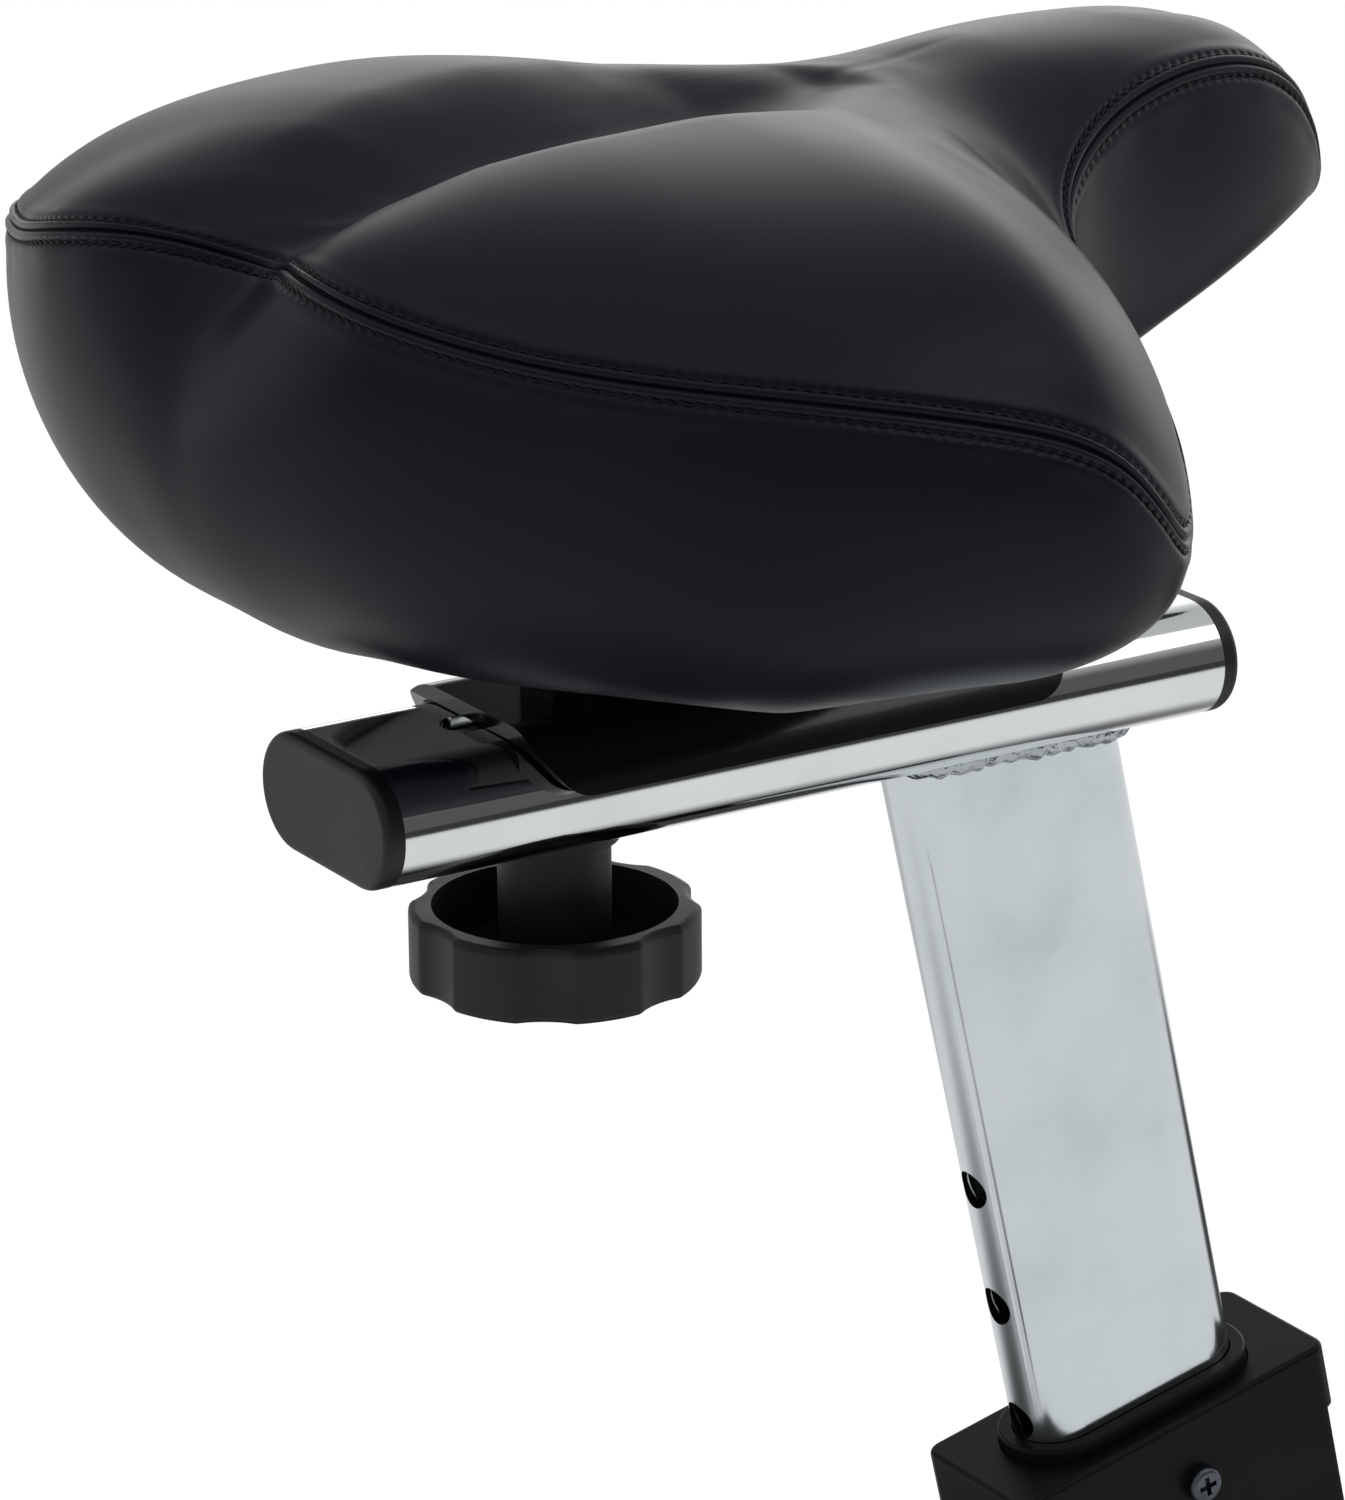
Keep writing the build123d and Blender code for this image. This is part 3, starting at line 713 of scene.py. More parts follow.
def settle_in(piece: Mesh, body: str, slot: str, *nodes: str) -> None:
    """Let a piece ride on a body and hide the CAD nodes that it stands for.

    Args:
        piece: The piece.
        body: Body that it moves with.
        slot: Not used.
        nodes: CAD nodes that it replaces, if any.
    """
    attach(piece, body)
    if nodes:
        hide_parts(*nodes)
    LOG.info("%s rides on %s with %d faces", piece.name, body, len(piece.data.polygons))


class Station(NamedTuple):
    """Sizes of the saddle at one place on its seam, from the rear notch round to the nose.

    seam is the place itself. The top panel rises by rise over the share reach of its way to the
    lobe's crest, which stands at the height crest with the share inner of the way still to go to
    the middle line, and then sinks by sink to the point spine forward on that line. The skirt's
    lower edge lies inset from the seam at the height base, the skirt swells by bulge, and under
    the notch it stands back from the seam by fill.
    """

    seam: Triple
    spine: float
    crest: float
    inner: float
    sink: float
    rise: float
    reach: float
    inset: float
    base: float
    bulge: float
    fill: float = 0.0


class CoverGrid(NamedTuple):
    """The cover as one grid round the seam: points, distances above the seam and the seam's row."""

    points: np.ndarray
    away: np.ndarray
    seam_row: int


class SeamBand(Enum):
    """Rounded bands along both sides of the seam: height, distance from the seam and width."""

    VALLEY = (-1.0, 0.0, 0.42)
    ROLL = (0.55, 1.4, 0.8)
    GROOVE = (-0.45, STITCH_ROW, 0.55)
    SHOULDER = (0.35, 4.8, 1.6)


@dataclass
class SaddleCover:
    """The padded saddle: a top panel and a skirt sewn together, tucked under a base pan."""

    # Place and stance
    slider_rear: Triple = (-257.93, 0.0, 441.395)
    pivot: Triple = (90.0, 0.0, 20.0)
    left: float = 7.3
    turn_deg: float = 5.0
    roll_deg: float = -2.5
    # Grids, fine for the mesh and coarse for the simulation
    columns: int = 401
    near_rows: tuple[float, ...] = (0.3, 0.7, 1.2, 1.7, 2.2, 2.6, 3.0, 3.5, 4.2, 5.2, 6.6, 8.5)
    top_rows: int = 52
    skirt_rows: int = 34
    coarse_columns: int = 101
    coarse_top: int = 22
    coarse_skirt: int = 18
    # Fineness of the lines that the grids are read from, and spacing of the seam's knots
    line_steps: int = 2000
    section_steps: int = 121
    knot_power: float = 0.8
    # Sections: the reach of the shelf under the notch is a size, the rest are shares
    crown_back: float = 0.4
    belly_low: float = 0.55
    shelf_lift: float = 0.38
    shelf_reach: float = 45.0
    tuck_out: float = 0.75
    tuck_up: float = 0.02
    lean_in: float = 0.7
    blend: float = 0.05
    # Puckers in a band beside the seam, and faint waves that grow to full height away from it
    pucker_length: float = 16.0
    pucker_height: float = 0.12
    pucker_place: float = 6.0
    pucker_width: float = 5.0
    pucker_seed: int = 4
    wave_length: float = 62.0
    wave_height: float = 0.07
    wave_reach: float = 20.0
    wave_seed: int = 9
    # The pan, measured from the pivot, and the rows that lead up beside it
    pan_outline: tuple[Pair, ...] = (
        (-60.0, 0.0),
        (-60.0, 46.0),
        (-30.0, 60.0),
        (10.0, 60.0),
        (42.0, 30.0),
        (122.0, 14.0),
        (122.0, 0.0),
    )
    pan_under: float = 13.5
    pan_thick: float = 4.0
    pan_bend: float = 10.0
    pan_slope: float = 45.0 / 111.5
    pan_clear: float = 1.2
    mouth_drop: float = 1.5
    tuck_rows: tuple[Pair, ...] = ((0.35, 0.1), (0.7, 0.45))
    mouth_rows: tuple[float, ...] = (0.5, pan_thick + 1.0)
    # Far from the seam, for rows that the leather shows no seam on
    seam_far: float = -500.0
    # The simulation: what is held near the seam and the lower edge, and what comes of it
    held_near: float = 7.0
    held_rows: int = 2
    frames: int = 20
    smooth_passes: int = 2
    swell_limit: float = 2.2
    # Stitches: the thread, the bow of one in stitch lengths and thread radii, and how they vary
    thread_radius: float = 0.30
    thread_sides: int = 6
    thread_spread: Pair = (0.88, 1.12)
    stitch_bow: tuple[Pair, ...] = (
        (-0.5, -0.9),
        (-0.4, -0.1),
        (-0.2, 0.55),
        (0.0, 0.72),
        (0.2, 0.55),
        (0.4, -0.1),
        (0.5, -0.9),
    )
    stitch_length: Pair = (0.74, 0.86)
    stitch_slant: float = 0.22
    slant_spread: float = 0.16
    stitch_end: float = 0.7
    stitch_ahead: float = 0.4
    stitch_seed: int = 17

    cloth_settings = {
        "quality": 6,
        "mass": 0.25,
        "tension_stiffness": 20.0,
        "compression_stiffness": 20.0,
        "shear_stiffness": 8.0,
        "bending_stiffness": 0.8,
        "use_pressure": True,
        "uniform_pressure_force": 4.0,
        "vertex_group_mass": "held",
    }

    def stations(self) -> list[Station]:
        """State the saddle's sizes.

        Returns:
            The places from the rear notch to the nose, with the sizes in Station's order.
        """
        return [
            Station((-11, 0, 112), 18, 116, 0.30, 0.5, 1, 0.22, 70, 29, 9.0, 39),
            Station((-20, 19, 116), 20, 119, 0.60, 3, 1, 0.22, 67, 30, 8.0, 25.5),
            Station((-28, 50, 115), 27, 126, 0.52, 8, 9, 0.25, 60, 31, 4.0, 8),
            Station((-15, 89, 108), 40, 132, 0.38, 12, 15, 0.25, 58, 31, 7.0),
            Station((11, 127, 103.5), 56, 134.5, 0.32, 13.5, 22, 0.22, 59, 30, 7.5),
            Station((50, 142.5, 94.5), 72, 135, 0.30, 13.5, 34, 0.18, 58, 31, 6.0),
            Station((80, 146, 81), 88, 133.4, 0.30, 12, 43, 0.10, 56, 31, 4.5),
            Station((103, 136, 62), 104, 130.6, 0.30, 7.5, 49, 0.0, 53, 32, 2.5),
            Station((127, 102, 82), 124, 130, 0.22, 3, 12, 0.20, 40, 33, 1.5),
            Station((140, 62, 104), 144, 132, 0.12, 0.3, 7, 0.15, 25, 43, 2.0),
            Station((169, 40, 120), 166, 134.5, 0.02, 0, 8, 0.18, 14, 60, 4.5),
            Station((210, 31, 126), 198, 134.5, 0.02, 0, 5, 0.18, 9, 75, 5.0),
            Station((242, 21, 111), 222, 131, 0.02, 0, 13, 0.30, 10, 83, 3.0),
            Station((259, 0, 86), 232, 126, 0.02, 0, 18, 0.30, 16, 85, 1.5),
        ]

    def outline(self, columns: int) -> tuple[np.ndarray, np.ndarray, np.ndarray]:
        """Draw the left half of the seam, and of the line that the skirt hangs from.

        Args:
            columns: Number of evenly spaced points.

        Returns:
            Both lines' points from the rear notch to the nose, and a station's other sizes there.
        """
        stations = self.stations()
        half = np.array([s.seam for s in stations], float)
        back = half - np.array([(s.fill, 0.0, 0.0) for s in stations])
        loop, hang = (Curves.closed(np.vstack([h, (h * MIRROR)[-2:0:-1]])) for h in (half, back))
        steps = np.linalg.norm(np.diff(loop, axis=0), axis=1) ** self.knot_power
        knots = np.concatenate([[0.0], np.cumsum(steps)])
        own = knots[: len(half)]
        dense = np.linspace(0.0, own[-1], self.line_steps)
        walked = Curves.walked(Curves.closed_spline(loop, knots, dense))
        at = np.interp(np.linspace(0.0, walked[-1], columns), walked, dense)
        points, full = (Curves.closed_spline(line, knots, at) for line in (loop, hang))
        rows = np.array([s[1:-1] for s in stations], float)
        sizes = np.stack([Curves.even_line(own, row, at) for row in rows.T])
        return points, full, sizes

    def to_pan(self, start: np.ndarray, goal: np.ndarray) -> np.ndarray:
        """Find where straight ways in plan first come to the pan's outline.

        Args:
            start: Points outside, by column.
            goal: Points further in, by column.

        Returns:
            Share of each way at the outline, over 1 where it isn't reached.
        """
        slack = 1e-6
        never = 2.0
        line = np.array(self.pan_outline) + np.array(self.pivot[:2])
        nearest = np.full(len(start), never)
        way = goal[:, :2] - start[:, :2]
        for first, second in zip(line[:-1], line[1:]):
            side = second - first
            cross = way[:, 0] * side[1] - way[:, 1] * side[0]
            cross = np.where(np.abs(cross) < TINY, TINY, cross)
            gap = first - start[:, :2]
            share = (gap[:, 0] * side[1] - gap[:, 1] * side[0]) / cross
            place = (gap[:, 0] * way[:, 1] - gap[:, 1] * way[:, 0]) / cross
            hit = (share >= 0) & (place >= -slack) & (place <= 1 + slack)
            nearest = np.where(hit & (share < nearest), share, nearest)
        return nearest

    def sections(self, columns: int) -> tuple[np.ndarray, np.ndarray]:
        """Draw the top panel's and the skirt's sections as fine lines.

        Args:
            columns: Number of sections round the left half.

        Returns:
            Lines from the seam to the spine, and from the seam to the skirt's lower edge.
        """
        seam, full, sizes = self.outline(columns)
        spine_x, crest_z, inner, sink, rise, reach, inset, base, bulge = sizes
        flow = Curves.unit(np.gradient(full[:, :2], axis=0))
        out = np.stack([-flow[:, 1], flow[:, 0], np.zeros(columns)], -1)
        out[0] = (-1.0, 0.0, 0.0)
        out[-1] = (1.0, 0.0, 0.0)
        out[:, 1] = np.minimum(out[:, 1], self.lean_in * full[:, 1] / inset)
        steps = np.tile(np.linspace(0.0, 1.0, self.section_steps), (columns, 1))

        spine = np.stack([spine_x, np.zeros(columns), crest_z - sink], -1)
        crest = seam + (spine - seam) * LEVEL * (1 - inner)[:, None]
        crest[:, 2] = crest_z
        way = (crest - seam) * LEVEL
        lift = seam + way * reach[:, None]
        lift[:, 2] += rise
        outer = Curves.bezier(np.stack([seam, lift, crest - self.crown_back * way, crest], 1), steps)
        share = steps[:, 1:]
        trough = crest[:, None] * (1 - share)[:, :, None] + spine[:, None] * share[:, :, None]
        trough[:, :, 2] = crest_z[:, None] - sink[:, None] * share**2 * (3 - 2 * share)
        top = np.concatenate([outer, trough], axis=1)

        edge = full - out * inset[:, None]
        edge[:, 1] = np.maximum(edge[:, 1], 0.0)
        run = np.linalg.norm((edge - full)[:, :2], axis=1)
        part = np.minimum(1.0, self.to_pan(full, edge) - 2 * self.pan_clear / np.maximum(run, 1.0))
        edge = full + (edge - full) * part[:, None]
        edge[:, 2] = base
        drop = seam[:, 2] - base
        belly = full + out * bulge[:, None]
        shelf = np.clip((seam - full)[:, 0] / self.shelf_reach, 0.0, 1.0)
        belly[:, 2] -= (self.belly_low - self.shelf_lift * shelf) * drop
        tuck = edge + out * (self.tuck_out * inset * part)[:, None]
        tuck[:, 2] = base + self.tuck_up * drop
        skirt = np.stack([seam, *(self.even_out(line) for line in (belly, tuck, edge))], 1)
        return top, Curves.bezier(skirt, steps)

    def even_out(self, line: np.ndarray) -> np.ndarray:
        """Average each point of a line round the left half over its neighbours on the whole loop.

        Args:
            line: Points from the rear notch to the nose.

        Returns:
            The evened points.
        """
        reach = int(self.blend * len(line))
        mirrored = line * MIRROR
        loop = np.vstack([mirrored[reach:0:-1], line, mirrored[-2 : -reach - 2 : -1]])
        weights = np.hanning(2 * reach + 3)[1:-1]
        weights /= weights.sum()
        return np.stack([np.convolve(loop[:, k], weights, "valid") for k in range(3)], -1)

    def sheet(self, columns: int, near: tuple[float, ...], top_rows: int, skirt_rows: int) -> CoverGrid:
        """Lay out the whole cover as one grid, from the spine down to the skirt's lower edge.

        Args:
            columns: Columns of the left half, its two ends on the middle line.
            near: Distances of the close rows on each side of the seam.
            top_rows: Further rows to the spine.
            skirt_rows: Further rows to the skirt's lower edge.

        Returns:
            The grid.
        """
        top, skirt = self.sections(columns)
        halves = []
        offsets = []
        for lines, rows in ((top, top_rows), (skirt, skirt_rows)):
            walked = Curves.walked(lines)
            rest = near[-1] if near else 0.0
            far = rest + (walked[:, -1:] - rest) * np.linspace(0.0, 1.0, rows + 1)[None, 1:]
            away = np.hstack([np.tile(np.array(near), (columns, 1)), far])
            halves.append(np.stack([Curves.read(*column) for column in zip(lines, walked, away)]))
            offsets.append(away)
        grid = np.hstack([halves[0][:, ::-1], top[:, :1], halves[1]])
        away = np.hstack([offsets[0][:, ::-1], np.zeros((columns, 1)), -offsets[1]])
        points = np.vstack([grid, (grid * MIRROR)[-2:0:-1]])
        return CoverGrid(points, np.vstack([away, away[-2:0:-1]]), halves[0].shape[1])

    @staticmethod
    def normals(points: np.ndarray) -> np.ndarray:
        """Outward directions of a grid that closes round its columns."""
        round_way = np.roll(points, -1, axis=0) - np.roll(points, 1, axis=0)
        return Curves.unit(np.cross(round_way, np.gradient(points, axis=1)))

    def underside(self, points: np.ndarray) -> np.ndarray:
        """Rows that take the cover from the skirt's edge up beside the pan.

        Args:
            points: The cover's grid.

        Returns:
            The extra rows, by column.
        """
        column = np.arange(len(points))
        left = column <= len(points) // 2
        mirror = np.where(left, column, len(points) - column)
        edge = points[:, -1]
        folded = np.where(left[:, None], edge, edge * MIRROR)
        ends = [place[0] + self.pivot[0] for place in self.pan_outline]
        inside = np.clip(points[mirror, 0, 0], min(ends) + self.pan_bend, max(ends) - self.pan_bend)
        goal = np.stack([inside, np.zeros(len(points)), edge[:, 2]], -1)
        run = np.maximum(np.linalg.norm((goal - folded)[:, :2], axis=1), 1.0)
        share = np.clip(self.to_pan(folded, goal) - self.pan_clear / run, 0.0, 1.0)
        mouth = folded + (goal - folded) * share[:, None]
        mouth = np.where(left[:, None], mouth, mouth * MIRROR)
        forward = np.maximum(mouth[:, 0] - self.pivot[0] - self.pan_bend, 0.0)
        under = self.pivot[2] + self.pan_under + self.pan_slope * forward
        mouth[:, 2] = under - self.mouth_drop
        rows = []
        for part, lift in (*self.tuck_rows, (1.0, 1.0)):
            rows.append(edge + (mouth - edge) * (part, part, lift))
        for height in self.mouth_rows:
            rows.append(mouth * LEVEL + np.outer(under + height, (0.0, 0.0, 1.0)))
        return np.stack(rows, 1)

    def in_place(self, points: np.ndarray) -> np.ndarray:
        """Turn and lean the saddle on its bracket, into the CAD frame.

        Args:
            points: Points measured from the slider's rear end.

        Returns:
            The points in the CAD frame.
        """
        turn = Matrix.Rotation(math.radians(self.turn_deg), 3, "Z")
        lean = Matrix.Rotation(math.radians(self.roll_deg), 3, "X")
        stand = np.array(turn @ lean)
        base = np.array(self.pivot) + np.array(self.slider_rear) + [0.0, self.left, 0.0]
        return (points - np.array(self.pivot)) @ stand.T + base

    @staticmethod
    def numbers(columns: int, rows: int) -> np.ndarray:
        """Number the corners of a grid whose first row is shared by its two halves.

        Args:
            columns: Its columns.
            rows: Its rows.

        Returns:
            Corner numbers by column and row.
        """
        numbers = np.arange(columns * rows).reshape(columns, rows)
        numbers[columns // 2 + 1 :, 0] = numbers[columns // 2 - 1 : 0 : -1, 0]
        return numbers

    @staticmethod
    def faces(numbers: np.ndarray) -> list[list[int]]:
        """Join a grid of corners into quads and close it under the pan.

        Args:
            numbers: Corner numbers by column and row.

        Returns:
            Corner numbers of each face.
        """
        faces = grid_quads(numbers)
        last = numbers[:, -1].tolist()
        for column in range(len(last) // 2):
            quad = [last[column], last[column + 1], last[-column - 1], last[-column]]
            faces.append(list(dict.fromkeys(quad)))
        return faces

    def swell(self) -> np.ndarray:
        """Simulate the cover as cloth under pressure from its padding, held at the seam.

        Returns:
            Outward movement by column and row of the coarse grid.
        """
        points, away, _ = self.sheet(self.coarse_columns, (), self.coarse_top, self.coarse_skirt)
        every = np.concatenate([points, self.underside(points)], axis=1)
        numbers = self.numbers(*every.shape[:2])
        piece = new_piece("swelling_cover", every, self.faces(numbers), None)
        free = np.zeros(numbers.shape, bool)
        loose_rows = away.shape[1] - self.held_rows
        free[:, :loose_rows] = np.abs(away[:, :loose_rows]) > self.held_near
        held = piece.vertex_groups.new(name="held")
        for choice, weight in ((free, 0.0), (~free, 1.0)):
            held.add(numbers[choice].tolist(), weight, "REPLACE")
        cloth = piece.modifiers.new("cloth", "CLOTH")
        for key, value in self.cloth_settings.items():
            setattr(cloth.settings, key, value)
        cloth.settings.effector_weights.gravity = 0.0
        cloth.collision_settings.use_collision = False
        cloth.point_cache.frame_start = 1
        cloth.point_cache.frame_end = self.frames
        scene = bpy.context.scene
        for step in range(1, self.frames + 1):
            scene.frame_set(step)
        moved = piece.evaluated_get(bpy.context.evaluated_depsgraph_get()).to_mesh()
        after = np.zeros(every.size)
        moved.vertices.foreach_get("co", after)
        after = after.reshape(every.shape)[:, : points.shape[1]] / MM
        scene.frame_set(1)
        mesh = piece.data
        bpy.data.objects.remove(piece)
        bpy.data.meshes.remove(mesh)
        shift = ((after - points) * self.normals(points)).sum(2)
        shift[:, 0] = shift[:, 1]
        LOG.info("padding swells by %.2f to %.2f mm", shift.min(), shift.max())
        return np.clip(shift, -self.swell_limit, self.swell_limit)

    def swollen(self, away: np.ndarray) -> np.ndarray:
        """Carry the simulated movement over to the fine grid.

        Args:
            away: Distance above the seam, by column and row of the fine grid.

        Returns:
            Outward movement by column and row of the fine grid.
        """
        coarse = self.swell()
        many = len(away) // len(coarse)
        below = -np.linspace(0.0, 1.0, self.coarse_skirt + 1)[1:]
        coarse_share = np.concatenate([np.linspace(1.0, 0.0, self.coarse_top + 1), below])
        fine = np.zeros(away.shape)
        for column, distance in enumerate(away):
            share = np.where(distance > 0, distance / distance[0], distance / -distance[-1])
            here = coarse[column // many]
            after = coarse[(column // many + 1) % len(coarse)]
            between = here + (after - here) * (column % many) / many
            fine[column] = np.interp(share, coarse_share[::-1], between[::-1])
        for _ in range(self.smooth_passes):
            shifted = [np.roll(fine, step, axis=0) for step in range(-many, many + 1)]
            fine = sum(shifted) / len(shifted)
        return fine

    def build(self, leather: bpy.types.Material, thread: bpy.types.Material) -> None:
        """Make the cover and its stitches, and set them on the saddle's body.

        Args:
            leather: Finish of the cover.
            thread: Finish of the stitches.
        """
        grid = self.sheet(self.columns, self.near_rows, self.top_rows, self.skirt_rows)
        size = np.abs(grid.away)
        height = np.zeros(size.shape)
        for band in SeamBand:
            tall, place, width = band.value
            height += tall * Curves.hump(size - place, width)
        puckers = Curves.ripple(grid.points, self.pucker_length, self.pucker_seed) * self.pucker_height
        height += puckers * Curves.hump(size - self.pucker_place, self.pucker_width)
        waves = Curves.ripple(grid.points, self.wave_length, self.wave_seed) * self.wave_height
        waves *= np.clip(size / self.wave_reach, 0.0, 1.0)
        height += waves
        height[:, 0] = waves[:, 0]
        height += self.swollen(grid.away)
        points = grid.points + self.normals(grid.points) * height[:, :, None]
        points[:, 0, 1] = 0.0
        placed = self.in_place(np.concatenate([points, self.underside(grid.points)], axis=1))
        numbers = self.numbers(*placed.shape[:2])
        cover = new_piece("saddle_cover", placed, self.faces(numbers), leather)
        self.mark_seam(cover, grid, placed.shape[1])
        settle_in(cover, "saddle", "saddle_cover", "saddle_cushion")
        for name, side in (("top", 1), ("skirt", -1)):
            stitches = self.stitches(name, placed[:, : size.shape[1]], grid.away, side, thread)
            settle_in(stitches, "saddle", "saddle_cover")

    def mark_seam(self, cover: Mesh, grid: CoverGrid, rows: int) -> None:
        """Write distances along and away from the seam into the cover's seam coordinates.

        Args:
            cover: The cover.
            grid: Its grid, before the underside's rows were added.
            rows: Number of rows with the underside's.
        """
        columns, own_rows = grid.away.shape
        hidden = np.full((columns, rows - own_rows), self.seam_far)
        aside = np.array(grid_quads(np.hstack([grid.away, hidden])))
        walked = Curves.walked(Curves.closed(grid.points[:, grid.seam_row]))
        ends = np.stack([walked[:-1], walked[1:], walked[1:], walked[:-1]], -1)
        forward = np.repeat(ends, rows - 1, axis=0)
        flat = np.full((len(cover.data.loops), 2), self.seam_far)
        flat[: aside.size] = np.stack([forward.ravel(), aside.ravel()], -1)
        cover.data.uv_layers.new(name="seam").data.foreach_set("uv", flat.ravel() * MM)

    def stitches(
        self, name: str, placed: np.ndarray, away: np.ndarray, side: int, thread: bpy.types.Material
    ) -> Mesh:
        """Lay one row of stitches beside the seam.

        Args:
            name: Panel that carries the row.
            placed: The cover's grid in the CAD frame.
            away: Distance of each row above the seam.
            side: 1 for the top panel's row, -1 for the skirt's.
            thread: Finish of the thread.

        Returns:
            The row as one piece.
        """
        row = int(np.argmin(np.abs(away[0] - side * STITCH_ROW)))
        loop = Curves.closed(placed[:, row])
        facing = Curves.closed(self.normals(placed)[:, row])
        walked = Curves.walked(loop)
        total = walked[-1]
        count = int(round(total / STITCH_PITCH))
        pitch = total / count
        draw = np.random.default_rng(self.stitch_seed + side)
        share, lift = np.array(self.stitch_bow).T[:, :, None]
        taper = np.ones((len(share), 1, 1))
        taper[[0, -1]] = self.stitch_end
        turns = np.linspace(0.0, math.tau, self.thread_sides, endpoint=False)[None, :, None]
        own = np.arange(len(share) * self.thread_sides).reshape(len(share), -1)
        corners = []
        faces = []
        for i in range(count):
            length = pitch * draw.uniform(*self.stitch_length)
            slant = draw.normal(0.0, self.slant_spread) + self.stitch_slant * side
            fat = self.thread_radius * draw.uniform(*self.thread_spread)
            at = ((i + 0.5) * pitch + share[:, 0] * length) % total
            spot = Curves.read(loop, walked, at)
            ahead = Curves.read(loop, walked, (at + self.stitch_ahead) % total)
            normal = Curves.unit(Curves.read(facing, walked, at))
            across = np.cross(normal, Curves.unit(ahead - spot))
            centre = spot + normal * lift * fat + across * share * slant
            rings = across[:, None] * np.cos(turns) + normal[:, None] * np.sin(turns)
            corners.append(centre[:, None] + rings * fat * taper)
            numbers = own + i * own.size
            faces += grid_quads(numbers.T) + [numbers[0, ::-1].tolist(), numbers[-1].tolist()]
        return new_piece("stitches_" + name, np.array(corners), faces, thread)


@dataclass
class WeldBead:
    """The uneven bead that joins the post to the slider's underside."""

    middle: Triple = (-98.23, 0.0, 428.9)
    post_deep: float = 56.5
    post_thick: float = 21.3
    stand_off: float = 0.9
    drop: float = 0.8
    radius: float = 3.1
    pass_length: float = 4.6
    pass_height: float = 0.09
    pass_sway: float = 2.0
    unevenness: float = 0.16
    lump_length: float = 9.0
    lump_seed: int = 23
    steps: int = 240
    sides: int = 16

    def build(self, finish: bpy.types.Material) -> None:
        """Lay the bead round the post's upper end.

        Args:
            finish: Its plating.
        """
        half = (self.post_deep - self.post_thick) / 2
        bend = self.post_thick / 2 + self.stand_off
        total = 2 * (2 * half + math.pi * bend)
        walked = np.linspace(0.0, total, self.steps, endpoint=False)
        turned = np.where(walked >= total / 2, -1.0, 1.0)[:, None]
        part = walked % (total / 2)
        angle = np.clip((part - 2 * half) / bend, 0.0, math.pi)
        facing = np.stack([np.sin(angle), np.cos(angle), np.zeros(self.steps)], -1) * turned
        forward = np.minimum(part, 2 * half) - half
        centre = np.outer(forward, (1.0, 0.0, 0.0)) * turned + bend * facing
        lumps = Curves.ripple(centre, self.lump_length, self.lump_seed)
        passes = np.cos(math.tau * walked / self.pass_length + self.pass_sway * lumps)
        fat = self.radius * (1 + self.unevenness * lumps + self.pass_height * passes)
        stretch = (1 / math.cos(math.radians(POST_LEAN)), 1.0, 1.0)
        centre = centre * stretch + np.array(self.middle) - [0.0, 0.0, self.drop]
        turns = np.linspace(0.0, math.tau, self.sides, endpoint=False)[None, :, None]
        ring = np.cos(turns) * facing[:, None] + np.sin(turns) * np.array([0.0, 0.0, 1.0])
        points = centre[:, None] + ring * fat[:, None, None]
        numbers = np.arange(self.steps * self.sides).reshape(self.steps, self.sides)
        bead = new_piece("weld_bead", points, grid_quads(Curves.closed(numbers).T), finish)
        settle_in(bead, "post", "post_plating", "post_weld")


@dataclass(frozen=True)
class SoftBox:
    """One lamp with a wide soft face that points at the seat."""

    name: str
    spot: Triple
    size: Pair
    watts: float
    aim: Triple = (-0.17, 0.0, 0.5)

    def hang(self) -> None:
        """Add the lamp to the scene."""
        data = bpy.data.lights.new(self.name, "AREA")
        data.shape = "RECTANGLE"
        data.size, data.size_y = self.size
        data.energy = self.watts
        item = bpy.data.objects.new(self.name, data)
        item.location = self.spot
        item.rotation_euler = (Vector(self.spot) - Vector(self.aim)).to_track_quat("Z", "Y").to_euler()
        bpy.context.scene.collection.objects.link(item)


